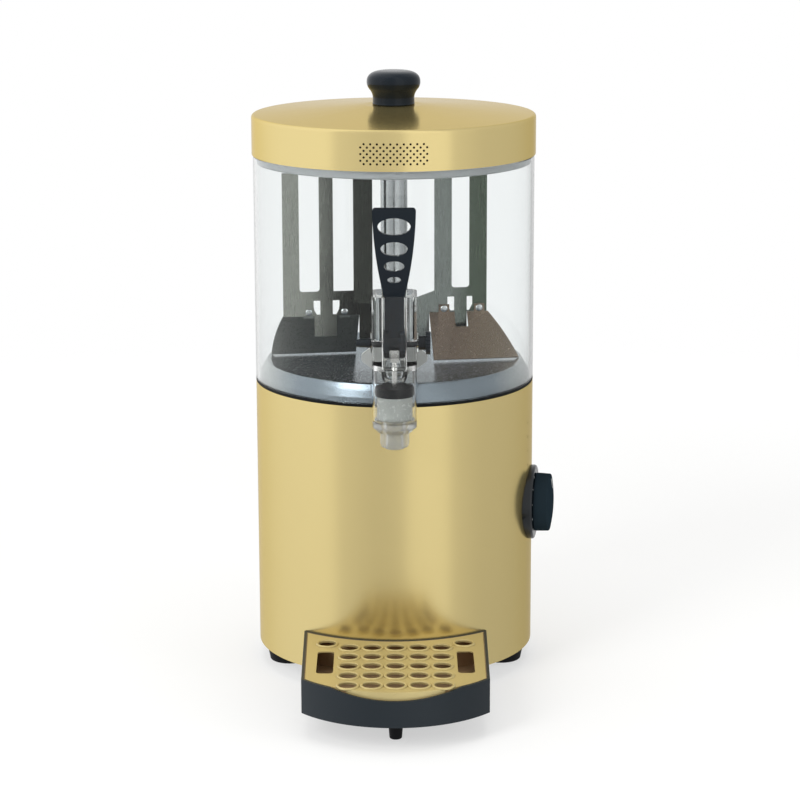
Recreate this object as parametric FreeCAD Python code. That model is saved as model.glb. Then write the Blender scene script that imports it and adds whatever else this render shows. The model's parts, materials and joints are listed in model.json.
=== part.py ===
"""Hot chocolate dispenser machine, about 10 litres, built as separate pieces.

Every piece is made about the tank's upright axis with the floor at z = 0, the front towards -Y.
All sizes are millimetres. The pieces are moved together to the model's origin only when written out.
"""
import FreeCAD
import Part
import math
import os

V = FreeCAD.Vector

# general clearances
touch_gap = 0.05          # between nested pieces that are fixed together
slide_gap = 0.4           # between pieces that slide apart
run_gap = 0.05            # radial play of a running fit

# feet and body
foot_height = 18.0
foot_radius = 22.0
foot_sole_radius = 19.0
foot_circle = 103.0
foot_azimuths = (78.0, -78.0, 150.0, -150.0)
foot_bore = 2.6
foot_screw_head_radius = 5.0
foot_screw_head = 3.0
foot_screw_recess = 5.5
body_radius = 130.0
body_height = 253.0
sheet = 1.2
top_flange_width = 14.0
bottom_flange_width = 11.0
base_plate_thickness = 1.5
base_screw_circle = 123.0
base_screw_azimuths = (35.0, -35.0, 114.0, -114.0)
base_screw_radius = 2.0
base_screw_head_radius = 3.6
base_screw_head = 2.0
base_screw_length = 6.0
vent_slot_circle = 58.0
vent_slot_count = 10
vent_slot_length = 26.0
vent_slot_width = 5.0
side_vent_azimuth = 72.4
side_vent_radius = 1.1
side_vent_lowest = 176.7
side_vent_pitch = 13.47
side_vent_count = 4

# gasket and tank
gasket_width = 5.6
gasket_height = 3.0
tank_radius = 130.0
tank_wall = 3.0
tank_height = 208.6
floor_plate_above_gasket = 14.3
floor_rim_radius = 119.0
floor_rim_above_plate = 1.1
floor_skirt_height = 5.0
floor_rim_width = 3.2
chimney_radius = 10.0
chimney_wall = 1.0
chimney_height = 160.5

# water bath
pan_radius = 112.0
pan_depth = 55.0
pan_flange_radius = 123.6
pan_collar_radius = 15.2
pan_collar_height = 46.0
element_radius = 80.0
element_tube_radius = 4.0
element_above_pan = 4.0
element_leg_drop = 22.0
element_gap = 15.7
element_bend = 8.0
element_nut_radius = 8.0
element_nut_height = 5.0

# drive
shaft_radius = 6.0
shaft_square = 8.0
shaft_square_length = 10.0
gearbox_shaft_radius = 5.0
gearbox_shaft_in = 9.0
gearbox_shaft_out = 20.0
coupling_radius = 11.0
coupling_length = 34.0
coupling_above_plate = 4.0
gearbox_size_x = 84.0
gearbox_size_y = 60.0
gearbox_height = 34.0
gearbox_bottom = 72.0
gearbox_offset = 14.0
motor_radius = 29.0
motor_height = 46.0
bracket_length = 124.0
bracket_width = 66.0
bracket_sheet = 3.0
bracket_foot = 18.0
bush_length = 12.0

# agitator
agitator_turn = 8.5
hub_radius = 12.5
hub_wall = 1.5
hub_above_floor = 2.6
plug_height = 14.8
socket_play = 0.2
blade_sheet = 1.5
comb_low = 331.5
comb_slot_low = 354.5
comb_top = 466.0
window_low = 332.6
window_high = 346.0
web_low = 300.0
web_reach = 33.0
scraper_top = 331.0
scraper_lean = 25.0
scraper_reach = 113.8
scraper_clearance = 1.2
rivet_radius = 2.0
rivet_head_radius = 3.4
rivet_head = 1.2
ear_width = 10.0
ear_height = 8.0

# lid
lid_radius = 131.2
lid_skirt = 36.5
lid_rise = 7.9
lid_edge_round = 3.0
lid_seat_gap = 0.5
liner_plug_height = 7.0
liner_wall = 3.9
liner_flange_height = 2.0
perforation_radius = 1.0
perforation_rows = 7
perforation_long_row = 11
perforation_pitch = 5.9
perforation_row_pitch = 2.92
perforation_low = 6.6
knob_base_radius = 19.4
knob_neck_height = 8.6
knob_widest_radius = 24.75
knob_widest_height = 20.0
knob_shoulder_radius = 19.0
knob_height = 31.3
knob_bore_radius = 2.6
knob_bore_depth = 16.0
knob_screw_radius = 2.5
knob_screw_length = 13.0
knob_screw_head_radius = 6.0
knob_screw_head = 3.5

# tap
tap_out = 165.0
tap_radius = 19.6
tap_wall = 1.7
tap_low = 268.0
tap_shoulder = 322.5
housing_high = 381.5
housing_front = 19.7
housing_back = 21.5
housing_round = 7.0
housing_wall_front = 2.8
housing_wall_back = 3.0
housing_slot = 22.0
inlet_height = 307.0
inlet_radius = 9.5
inlet_bore = 7.0
inlet_inner_end = 119.4
inlet_nut_radius = 14.0
flange_centre = 317.5
flange_half_width = 29.5
flange_half_height = 19.5
flange_tip_radius = 5.0
flange_thickness = 4.0
saddle_thickness = 2.0
boss_radius = 9.0
boss_out = 1.2
cap_height = 10.0
cap_low_radius = 15.0
spout_radius = 12.9
spout_bore = 6.5
spout_low = 245.0
spout_tip = 242.8
spout_tip_radius = 9.0
seat_height = 2.0
outlet_bore = 8.0
pivot_height = 337.5
pivot_pin_radius = 3.0
pivot_tail = 12.8
pivot_tail_radius = 4.3
pivot_tail_tip_radius = 3.2
thumb_neck_radius = 6.2
thumb_neck = 6.5
thumb_disc_radius = 10.2
thumb_disc = 4.0
thumb_ridges = 18
thumb_ridge_depth = 0.7
guide_height = 4.0
guide_low = 315.5

# lever and plunger
lever_width = 18.4
lever_thickness = 8.0
lever_hub_radius = 6.5
lever_disc_radius = 12.4
lever_disc_out = 10.6
lever_low = 325.0
paddle_low = 380.5
paddle_high = 456.6
paddle_top_width = 38.0
paddle_thickness = 5.0
paddle_waist_bulge = 2.3
paddle_holes = ((440.4, 28.7, 15.1), (421.0, 23.4, 12.1), (405.8, 17.7, 8.8), (393.8, 11.7, 5.3))
link_back = 12.0
link_drop = 8.0
link_radius = 2.0
link_cheek_radius = 4.0
link_cheek_gap = 4.6
rod_radius = 2.5
crosshead_width = 8.0
crosshead_low = 320.6
crosshead_bar = 3.4
crosshead_high = 334.4
hook_slot = 4.6
plunger_radius = 15.8
seal_radius = 17.5
seal_low = 290.8
seal_height = 8.1
seal_notch_radius = 5.0

# dial and thermostat
dial_azimuth = 81.0
dial_height = 154.0
bezel_radius = 35.0
bezel_out = 134.5
bezel_wall_gap = 0.3
dial_knob_radius = 27.5
dial_knob_out = 148.5
dial_dome = 2.5
dial_gap = 0.4
spindle_radius = 3.0
spindle_in_knob = 6.0
thermostat_size = 34.0
thermostat_depth = 22.0
thermostat_face = 112.0

# mains inlet and terminals
gland_height = 40.0
gland_radius = 9.0
gland_out = 12.0
gland_bore = 4.0
gland_thread_radius = 7.5
gland_thread_length = 10.0
gland_nut_across = 22.0
gland_nut_height = 5.0
terminal_length = 50.0
terminal_width = 20.0
terminal_height = 22.0
terminal_out = 88.0

# drip tray
tray_gap = 0.5
tray_low = 21.7
tray_rim = 53.0
tray_rear_half = 84.0
tray_front_half = 82.5
tray_front = 275.0
tray_front_radius = 106.8
tray_wall = 3.0
tray_floor = 3.0
tray_ledge = 3.0
tray_scallop_half = 57.0
tray_scallop_depth = 7.3
tray_hook_width = 14.0
tray_hook_at = 50.0
tray_hook_low = 40.0
tray_hook_height = 4.0
tray_hook_reach = 9.0
tray_foot_radius = 7.2
tray_foot_sole_radius = 5.6
tray_foot_out = 240.0
grid_sheet = 1.2
grid_lip = 8.5
grid_hole_radius = 8.0
grid_ring_width = 1.9
grid_ring_height = 1.0
grid_pitch_x = 20.8
grid_pitch_y = 25.6
grid_columns = 5
grid_rows = 5
grid_front_row = 254.4
grid_corner_x = 62.0
grid_corner_y = 140.0
grid_slot_inner = 55.0
grid_slot_outer = 70.0
grid_slot_front = 221.0
grid_slot_rear = 161.0
grid_slot_round = 4.0

# heights that follow from the sizes above
body_low = foot_height
body_high = body_low + body_height
gasket_high = body_high + gasket_height
tank_high = gasket_high + tank_height
lid_low = tank_high + lid_seat_gap
lid_edge = lid_low + lid_skirt
plate_high = gasket_high + floor_plate_above_gasket + sheet
rim_high = plate_high + floor_rim_above_plate
tank_bore = tank_radius - tank_wall
chimney_high = plate_high + chimney_height
pan_low = body_high - pan_depth
plate_low = body_low
gearbox_high = gearbox_bottom + gearbox_height
bracket_high = gearbox_high + bracket_sheet
coupling_low = bracket_high + coupling_above_plate
coupling_high = coupling_low + coupling_length
shaft_low = gearbox_high + gearbox_shaft_out + 1.0
shaft_shoulder = chimney_high + 4.0
plug_high = shaft_shoulder + plug_height
hub_high = plug_high + sheet
hub_low = plate_high + hub_above_floor
tap_bore = tap_radius - tap_wall
housing_half = tap_radius + 0.1
seat_high = tap_low + seat_height
rod_low = seal_low + seal_height


def ring(outer, inner, low, high):
    """Upright ring about the axis."""
    body = Part.makeCylinder(outer, high - low, V(0, 0, low))
    if inner <= 0:
        return body
    return body.cut(Part.makeCylinder(inner, high - low, V(0, 0, low)))


def edges_of(start, steps, place):
    """Edges through the steps: a pair is a line's end, a pair of pairs is an arc's middle and end."""
    found = []
    here = place(start)
    for step in steps:
        if isinstance(step[0], tuple):
            middle = place(step[0])
            there = place(step[1])
            found.append(Part.Arc(here, middle, there).toShape())
        else:
            there = place(step)
            found.append(Part.LineSegment(here, there).toShape())
        here = there
    return found


def flat_face(start, steps, place):
    """Closed face whose outline starts at start and takes the steps back to it."""
    last = steps[-1]
    end = last[1] if isinstance(last[0], tuple) else last
    closing = [] if end == start else [start]
    return Part.Face(Part.Wire(edges_of(start, steps + closing, place)))


def turned(start, *steps):
    """Solid of revolution about the axis from an outline in (radius, height)."""
    face = flat_face(start, list(steps), lambda p: V(p[0], 0, p[1]))
    return face.revolve(V(0, 0, 0), V(0, 0, 1), 360)


def plate(start, steps, back, front):
    """Upright plate from an outline in (x, z), between two y values."""
    face = flat_face(start, list(steps), lambda p: V(p[0], back, p[1]))
    return face.extrude(V(0, front - back, 0))


def prism(start, steps, low, high):
    """Solid from an outline in (x, y), between two heights."""
    face = flat_face(start, list(steps), lambda p: V(p[0], p[1], low))
    return face.extrude(V(0, 0, high - low))


def rounded_block(x0, x1, y0, y1, z0, z1, radius):
    """Block whose four upright edges are rounded."""
    body = Part.makeBox(x1 - x0, y1 - y0, z1 - z0, V(x0, y0, z0))
    upright = [e for e in body.Edges if abs(e.tangentAt(e.FirstParameter).z) > 0.9]
    return body.makeFillet(radius, upright)


def around(azimuth, radius, height=0.0):
    """Point at an azimuth measured from the front towards +X."""
    angle = math.radians(azimuth)
    return V(radius * math.sin(angle), -radius * math.cos(angle), height)


def spoke(azimuth, radius, start, end, height):
    """Cylinder lying along a spoke of the machine."""
    direction = around(azimuth, 1.0)
    return Part.makeCylinder(radius, end - start, around(azimuth, start, height), direction)


def spoke_turned(azimuth, height, start, *steps):
    """Solid of revolution about a spoke, from an outline in (radius, distance from the axis)."""
    body = turned(start, *steps)
    body.rotate(V(0, 0, 0), V(1, 0, 0), 90)
    body.rotate(V(0, 0, 0), V(0, 0, 1), azimuth)
    body.translate(V(0, 0, height))
    return body


def along_x(radius, start, end, y, z):
    """Cylinder along X."""
    return Part.makeCylinder(radius, end - start, V(start, y, z), V(1, 0, 0))


def along_y(radius, start, end, x, z):
    """Cylinder along Y."""
    return Part.makeCylinder(radius, end - start, V(x, start, z), V(0, 1, 0))


def joined(first, *others):
    """Union without the seams."""
    return first.fuse(list(others)).removeSplitter()


def hexagon(across, low, high):
    """Upright hexagonal prism about the axis."""
    corner = across / math.sqrt(3.0)
    points = [(corner * math.cos(math.radians(60 * i)), corner * math.sin(math.radians(60 * i)))
              for i in range(6)]
    return prism(points[0], points[1:], low, high)


# base


def make_body_shell():
    shell = ring(body_radius, body_radius - sheet, body_low, body_high)
    cutters = []
    for i in range(side_vent_count):
        height = body_low + side_vent_lowest + i * side_vent_pitch
        cutters.append(spoke(side_vent_azimuth, side_vent_radius, body_radius - 6, body_radius + 6, height))
    cutters.append(spoke(dial_azimuth, spindle_radius + 1.0, body_radius - 6, body_radius + 6, dial_height))
    cutters.append(spoke(180.0, gland_thread_radius + touch_gap, body_radius - 6, body_radius + 6, gland_height))
    width = tray_hook_width + 2 * slide_gap
    for side in (-1, 1):
        cutters.append(Part.makeBox(width, 40.0, tray_hook_height + 2 * slide_gap,
                                    V(side * tray_hook_at - width / 2, -body_radius - 5,
                                      tray_hook_low - slide_gap)))
    return shell.cut(Part.makeCompound(cutters))


def make_case_top_ring():
    return ring(body_radius - sheet - touch_gap, body_radius - top_flange_width, body_high - sheet, body_high)


def make_case_bottom_ring():
    seat = body_low + base_plate_thickness
    body = ring(body_radius - sheet - touch_gap, body_radius - bottom_flange_width, seat, seat + sheet)
    holes = [Part.makeCylinder(base_screw_radius + touch_gap, 6.0, around(azimuth, base_screw_circle, body_low))
             for azimuth in base_screw_azimuths]
    return body.cut(Part.makeCompound(holes))


def make_base_plate():
    body = ring(body_radius - sheet - touch_gap, 0, plate_low, plate_low + base_plate_thickness)
    cutters = []
    for azimuth in base_screw_azimuths:
        spot = around(azimuth, base_screw_circle, plate_low - 1)
        cutters.append(Part.makeCylinder(base_screw_radius + touch_gap, 5.0, spot))
    for azimuth in foot_azimuths:
        spot = around(azimuth, foot_circle, plate_low - 1)
        cutters.append(Part.makeCylinder(foot_bore, 5.0, spot))
    for i in range(vent_slot_count):
        slot = rounded_block(-vent_slot_length / 2, vent_slot_length / 2, -vent_slot_width / 2,
                             vent_slot_width / 2, plate_low - 1, plate_low + 4, vent_slot_width / 2 - 0.05)
        slot.translate(V(vent_slot_circle + vent_slot_length / 2 - 8, 0, 0))
        slot.rotate(V(0, 0, 0), V(0, 0, 1), 360.0 * i / vent_slot_count + 18)
        cutters.append(slot)
    return body.cut(Part.makeCompound(cutters))


def make_base_screws():
    screws = []
    for azimuth in base_screw_azimuths:
        spot = around(azimuth, base_screw_circle, plate_low - base_screw_head)
        head = Part.makeCylinder(base_screw_head_radius, base_screw_head, spot)
        shank = Part.makeCylinder(base_screw_radius, base_screw_head + base_screw_length, spot)
        slot = Part.makeBox(2 * base_screw_head_radius + 1, 0.9, 1.0,
                            V(spot.x - base_screw_head_radius - 0.5, spot.y - 0.45, spot.z - 0.1))
        screws.append(joined(head, shank).cut(slot))
    return Part.makeCompound(screws)


def make_foot(azimuth):
    foot = turned((foot_bore, 0), (foot_sole_radius - 2, 0),
                  ((foot_sole_radius - 0.5, 0.6), (foot_sole_radius, 2)),
                  (foot_radius, foot_height - 1.5),
                  ((foot_radius - 0.44, foot_height - 0.44), (foot_radius - 1.5, foot_height)),
                  (foot_bore, foot_height))
    foot = foot.cut(ring(foot_screw_head_radius + slide_gap, 0, -1, foot_screw_recess))
    foot.translate(around(azimuth, foot_circle))
    return foot


def make_foot_screws():
    screws = []
    for azimuth in foot_azimuths:
        low = foot_screw_recess - foot_screw_head
        spot = around(azimuth, foot_circle, low)
        head = Part.makeCylinder(foot_screw_head_radius, foot_screw_head, spot)
        length = plate_low + base_plate_thickness + 3.0 - low
        shank = Part.makeCylinder(foot_bore - touch_gap, length, spot)
        screws.append(joined(head, shank))
    return Part.makeCompound(screws)


def make_tank_gasket():
    return turned((body_radius - gasket_width, body_high), (body_radius - 0.6, body_high),
                  ((body_radius + 0.1, body_high + gasket_height / 2), (body_radius - 0.6, gasket_high)),
                  (body_radius - gasket_width, gasket_high))


def make_water_bath_pan():
    flange = ring(pan_flange_radius, pan_radius - sheet, body_high, body_high + sheet)
    wall = ring(pan_radius, pan_radius - sheet, pan_low, body_high + sheet)
    floor = ring(pan_radius, pan_collar_radius - sheet, pan_low, pan_low + sheet)
    collar = ring(pan_collar_radius, pan_collar_radius - sheet, pan_low, pan_low + pan_collar_height)
    holes = [Part.makeCylinder(element_tube_radius + touch_gap, 6.0, element_leg(side) + V(0, 0, pan_low - 2))
             for side in (-1, 1)]
    return joined(flange, wall, floor, collar).cut(Part.makeCompound(holes))


def element_leg(side):
    """Place of one terminal leg of the element, in plan."""
    angle = math.radians(element_gap)
    x = element_radius * math.sin(angle) - element_bend * math.cos(angle)
    y = element_radius * math.cos(angle) + element_bend * math.sin(angle)
    return V(side * x, -y, 0)


def make_heating_element():
    height = pan_low + sheet + element_above_pan + element_tube_radius
    low = pan_low - element_leg_drop
    short = element_bend * (1 - math.sqrt(0.5))
    ends = []
    for side in (-1, 1):
        leg = element_leg(side)
        start = around(side * element_gap, element_radius, height)
        reach = (V(start.x, start.y, 0) - leg).normalize()
        ends.append((V(leg.x, leg.y, low), V(leg.x, leg.y, height - element_bend),
                     V(leg.x, leg.y, height - short) + reach * short, start))
    left, right = ends
    edges = [Part.LineSegment(left[0], left[1]).toShape(), Part.Arc(left[1], left[2], left[3]).toShape(),
             Part.Arc(left[3], V(0, element_radius, height), right[3]).toShape(),
             Part.Arc(right[3], right[2], right[1]).toShape(), Part.LineSegment(right[1], right[0]).toShape()]
    profile = Part.Wire([Part.Circle(left[0], V(0, 0, 1), element_tube_radius).toShape()])
    return Part.Wire(edges).makePipeShell([profile], True, False)


def make_element_nuts():
    nuts = []
    for side in (-1, 1):
        nut = hexagon(2 * element_nut_radius, pan_low - element_nut_height, pan_low)
        nut = nut.cut(ring(element_tube_radius + touch_gap, 0, pan_low - 20, pan_low + 20))
        nut.translate(element_leg(side))
        nuts.append(nut)
    return Part.makeCompound(nuts)


def make_shaft_bush():
    return ring(pan_collar_radius - sheet - touch_gap, shaft_radius + run_gap, pan_low, pan_low + bush_length)


def make_gearbox():
    half = gearbox_size_x / 2
    block = rounded_block(gearbox_offset - half, gearbox_offset + half, -gearbox_size_y / 2,
                          gearbox_size_y / 2, gearbox_bottom, gearbox_high, 8.0)
    bore = ring(gearbox_shaft_radius + run_gap, 0, gearbox_high - gearbox_shaft_in - 1, gearbox_high + 1)
    return block.cut(bore)


def make_motor():
    spot = gearbox_offset + gearbox_size_x / 2 - motor_radius - 6
    low = gearbox_bottom - motor_height
    can = Part.makeCylinder(motor_radius, motor_height, V(spot, 0, low))
    edges = [e for e in can.Edges if e.BoundBox.ZMax < low + 0.01]
    return can.makeFillet(4.0, edges)


def make_motor_bracket():
    half = bracket_length / 2
    side = bracket_width / 2
    floor = plate_low + base_plate_thickness
    outline = [(half, floor), (half, bracket_high), (-half, bracket_high), (-half, floor),
               (-half - bracket_foot, floor), (-half - bracket_foot, floor + bracket_sheet),
               (-half - bracket_sheet, floor + bracket_sheet), (-half - bracket_sheet, bracket_high + bracket_sheet),
               (half + bracket_sheet, bracket_high + bracket_sheet), (half + bracket_sheet, floor + bracket_sheet),
               (half + bracket_foot, floor + bracket_sheet)]
    bent = plate((half + bracket_foot, floor), outline, -side, side)
    bent.translate(V(gearbox_offset, 0, -bracket_sheet))
    bent = bent.cut(Part.makeBox(400, 400, 100, V(-200, -200, floor - 100)))
    tabs = []
    for end in (-1, 1):
        start = gearbox_offset + end * half
        low_x = min(start, start + end * bracket_foot)
        tabs.append(Part.makeBox(bracket_foot, bracket_width, bracket_sheet, V(low_x, -side, floor)))
    hole = ring(coupling_radius + 3, 0, gearbox_high - 1, bracket_high + 1)
    return joined(bent, *tabs).cut(hole)


def make_drive_coupling():
    body = ring(coupling_radius, gearbox_shaft_radius + touch_gap, coupling_low, coupling_high)
    body = body.cut(ring(shaft_radius + touch_gap, 0, shaft_low - 0.5, coupling_high + 1))
    for height in (coupling_low + 7, coupling_high - 7):
        body = body.cut(along_x(2.0, 6.5, coupling_radius + 1, 0, height))
    return body


def make_gearbox_shaft():
    return ring(gearbox_shaft_radius, 0, gearbox_high - gearbox_shaft_in, gearbox_high + gearbox_shaft_out)


def make_drive_shaft():
    half = shaft_square / 2
    shank = ring(shaft_radius, 0, shaft_low, shaft_shoulder)
    square = Part.makeBox(shaft_square, shaft_square, shaft_square_length, V(-half, -half, shaft_shoulder))
    corners = ring(shaft_radius - 0.6, 0, shaft_shoulder - 1, shaft_shoulder + shaft_square_length)
    shaft = joined(shank, square.common(corners))
    shaft.rotate(V(0, 0, 0), V(0, 0, 1), agitator_turn)
    return shaft


def make_terminal_block():
    low = plate_low + base_plate_thickness
    block = Part.makeBox(terminal_length, terminal_width, terminal_height,
                         V(-terminal_length / 2, terminal_out - terminal_width / 2, low))
    cutters = []
    for i in range(4):
        x = (i - 1.5) * terminal_length / 4
        cutters.append(Part.makeCylinder(3.2, 8.0, V(x, terminal_out, low + terminal_height - 7)))
        cutters.append(along_y(2.4, terminal_out - terminal_width, terminal_out + terminal_width, x, low + 7))
    return block.cut(Part.makeCompound(cutters))


def make_cord_gland():
    wall = body_radius
    inner_end = wall - gland_thread_length - sheet
    return spoke_turned(180.0, gland_height, (gland_bore, inner_end), (gland_thread_radius, inner_end),
                        (gland_thread_radius, wall), (gland_radius, wall), (gland_radius, wall + 5),
                        (gland_radius - 2.5, wall + gland_out), (gland_bore, wall + gland_out))


def make_gland_nut():
    nut = hexagon(gland_nut_across, 0, gland_nut_height)
    nut = nut.cut(ring(gland_thread_radius + touch_gap, 0, -1, gland_nut_height + 1))
    nut.rotate(V(0, 0, 0), V(1, 0, 0), 90)
    corner = gland_nut_across / math.sqrt(3.0)
    inner = body_radius - sheet
    seat = math.sqrt(inner * inner - corner * corner)
    nut.translate(V(0, seat - 0.1, gland_height))
    return nut


# dial


def make_dial_bezel():
    wall = body_radius + bezel_wall_gap
    bezel = spoke_turned(dial_azimuth, dial_height, (spindle_radius + 1.0, body_radius - 10),
                         (bezel_radius, body_radius - 10), (bezel_radius, bezel_out - 2.0),
                         ((bezel_radius - 0.6, bezel_out - 0.6), (bezel_radius - 2.0, bezel_out)),
                         (spindle_radius + 1.0, bezel_out))
    return bezel.cut(ring(wall, 0, dial_height - 60, dial_height + 60))


def make_dial_knob():
    start = bezel_out + dial_gap
    crown = dial_knob_out + dial_dome
    knob = spoke_turned(dial_azimuth, dial_height, (0, start), (dial_knob_radius, start),
                        (dial_knob_radius - 0.5, dial_knob_out - 1.5),
                        ((dial_knob_radius - 1.0, dial_knob_out - 0.4), (dial_knob_radius - 2.4, dial_knob_out)),
                        ((dial_knob_radius / 2, crown - dial_dome / 4), (1.0, crown)), (0, crown))
    socket = spoke(dial_azimuth, spindle_radius + touch_gap, start - 1, start + spindle_in_knob + 0.5, dial_height)
    return knob.cut(socket)


def make_thermostat_spindle():
    return spoke(dial_azimuth, spindle_radius, thermostat_face - 6, bezel_out + dial_gap + spindle_in_knob,
                 dial_height)


def make_thermostat():
    half = thermostat_size / 2
    block = Part.makeBox(thermostat_size, thermostat_depth, thermostat_size, V(-half, -thermostat_face, -half))
    block = block.cut(along_y(spindle_radius + run_gap, -thermostat_face - 1, -thermostat_face + 7, 0, 0))
    neck = along_y(spindle_radius + 3, -thermostat_face - 6, -thermostat_face, 0, 0)
    neck = neck.cut(along_y(spindle_radius + run_gap, -thermostat_face - 7, -thermostat_face + 1, 0, 0))
    reach = body_radius - sheet - touch_gap
    ears = []
    for side in (-1, 1):
        ears.append(Part.makeBox(8.0, thermostat_depth / 2 + 12, 12.0,
                                 V(side * (half + 3.9) - 4.0, -thermostat_face - 12, -6.0)))
    body = joined(block, neck, *ears)
    body = body.common(ring(reach, 0, -40, 40))
    body.rotate(V(0, 0, 0), V(0, 0, 1), dial_azimuth)
    body.translate(V(0, 0, dial_height))
    return body


# tank


def make_tank_cylinder():
    wall = turned((tank_bore, gasket_high), (tank_radius, gasket_high), (tank_radius, tank_high - 1.0),
                  ((tank_radius - 0.3, tank_high - 0.3), (tank_radius - 1.0, tank_high)), (tank_bore, tank_high))
    hole = along_y(inlet_radius + touch_gap, -tank_radius - 5, -tank_bore + 15, 0, inlet_height)
    return wall.cut(hole)


def make_tank_floor():
    outer = tank_bore - touch_gap
    rim = floor_rim_radius
    skirt_high = gasket_high + floor_skirt_height
    inner = rim - floor_rim_width
    floor = turned((chimney_radius - chimney_wall, plate_high - sheet),
                   (inner - 3, plate_high - sheet), (inner, rim_high - sheet),
                   (rim - 0.6, rim_high - sheet), (outer - sheet, skirt_high - 0.4),
                   (outer - sheet, gasket_high), (outer, gasket_high), (outer, skirt_high),
                   (rim + 1.2, rim_high - 1.4), ((rim + 0.6, rim_high - 0.4), (rim - 0.8, rim_high)),
                   (inner, rim_high), (inner - 3, plate_high), (chimney_radius - chimney_wall, plate_high))
    chimney = ring(chimney_radius, chimney_radius - chimney_wall, plate_high - sheet, chimney_high)
    return joined(floor, chimney)


def rhombus_solid(near, far):
    """Two-eared flange between two distances in front of the axis."""
    centre = flange_half_width - flange_tip_radius
    lean = math.acos((flange_half_height - flange_tip_radius) / centre)
    cos_lean = math.cos(lean)
    sin_lean = math.sin(lean)
    ear = (centre + flange_tip_radius * cos_lean, flange_tip_radius * sin_lean)
    belly = (flange_half_height * cos_lean, flange_half_height * sin_lean)
    edges = []
    place = lambda p: V(p[0], -near, p[1] + flange_centre)
    edges += edges_of(ear, [belly, ((0.0, flange_half_height), (-belly[0], belly[1])), (-ear[0], ear[1]),
                            ((-flange_half_width, 0.0), (-ear[0], -ear[1])), (-belly[0], -belly[1]),
                            ((0.0, -flange_half_height), (belly[0], -belly[1])), (ear[0], -ear[1]),
                            ((flange_half_width, 0.0), ear)], place)
    return Part.Face(Part.Wire(edges)).extrude(V(0, near - far, 0))


flange_near = tank_radius + saddle_thickness
flange_far = flange_near + flange_thickness


def make_inlet_saddle():
    block = rhombus_solid(tank_radius - 8, flange_near)
    block = block.cut(ring(tank_radius, 0, inlet_height - 40, inlet_height + 40))
    return block.cut(along_y(inlet_radius + touch_gap, -flange_far, 0, 0, inlet_height))


def make_tap_flange():
    block = rhombus_solid(flange_near, flange_far)
    return block.cut(along_y(inlet_radius + touch_gap, -flange_far - 5, 0, 0, inlet_height))


def make_inlet_nut():
    nut = along_y(inlet_nut_radius, -tank_bore, -inlet_inner_end, 0, inlet_height)
    nut = nut.common(ring(tank_bore, 0, inlet_height - 30, inlet_height + 30))
    nut = nut.cut(along_y(inlet_radius + touch_gap, -tank_radius, 0, 0, inlet_height))
    grips = []
    for i in range(8):
        angle = math.radians(45 * i + 22.5)
        grips.append(along_y(2.2, -tank_bore, -inlet_inner_end + 1, inlet_nut_radius * math.cos(angle),
                             inlet_height + inlet_nut_radius * math.sin(angle)))
    return nut.cut(Part.makeCompound(grips))


# tap


def make_tap_body():
    lower = Part.makeCylinder(tap_radius, tap_shoulder - tap_low, V(0, -tap_out, tap_low))
    upper = rounded_block(-housing_half, housing_half, -tap_out - housing_front, -tap_out + housing_back,
                          tap_shoulder - 6, housing_high, housing_round)
    pipe = along_y(inlet_radius, -tap_out, -inlet_inner_end, 0, inlet_height)
    stop = along_y(inlet_radius + 3, -tap_out, -flange_far, 0, inlet_height)
    bosses = along_x(boss_radius, -housing_half - boss_out, housing_half + boss_out, -tap_out, pivot_height)
    body = joined(lower, upper, pipe, stop, bosses)
    bore = Part.makeCylinder(tap_bore, guide_low + guide_height - tap_low, V(0, -tap_out, tap_low))
    slot = rounded_block(-housing_slot / 2, housing_slot / 2, -tap_out - housing_front + housing_wall_front,
                         -tap_out + housing_back - housing_wall_back, guide_low, housing_high + 1, 3.0)
    duct = along_y(inlet_bore, -tap_out, -inlet_inner_end + 1, 0, inlet_height)
    pin = along_x(pivot_pin_radius + touch_gap, -60, 60, -tap_out, pivot_height)
    return body.cut(Part.makeCompound([bore])).cut(slot).cut(duct).cut(pin)


def make_tap_nozzle():
    cap_low = tap_low - cap_height
    cap = turned((outlet_bore, cap_low), (cap_low_radius, cap_low), (tap_radius, cap_low + 4.5),
                 (tap_radius, tap_low), (tap_bore - touch_gap, tap_low), (tap_bore - touch_gap, seat_high),
                 (outlet_bore, seat_high))
    spout = turned((spout_bore, spout_tip), (spout_tip_radius - 1, spout_tip),
                   ((spout_tip_radius - 0.3, spout_tip + 0.3), (spout_tip_radius, spout_low)),
                   (spout_radius - 0.8, spout_low), (spout_radius, spout_low + 3),
                   (spout_radius, cap_low + 0.5), (spout_bore, cap_low + 0.5))
    throat = turned((spout_bore, cap_low), (outlet_bore + 1, cap_low), (outlet_bore + 1, cap_low + 4),
                    (outlet_bore, cap_low + 4), (spout_bore, cap_low + 1.5))
    nozzle = joined(cap, spout, throat)
    nozzle.translate(V(0, -tap_out, 0))
    return nozzle


def make_rod_guide():
    guide = ring(tap_bore - touch_gap, rod_radius + run_gap, guide_low, guide_low + guide_height)
    guide.translate(V(0, -tap_out, 0))
    return guide


def make_plunger_cup():
    cup = ring(plunger_radius, 0, seat_high, seal_low)
    cup = cup.cut(ring(plunger_radius - 3, rod_radius + 2.5, seat_high + 4, seal_low + 1))
    cup = cup.cut(ring(rod_radius + touch_gap, 0, seat_high + 3, seal_low + 1))
    cup.translate(V(0, -tap_out, 0))
    return cup


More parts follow.
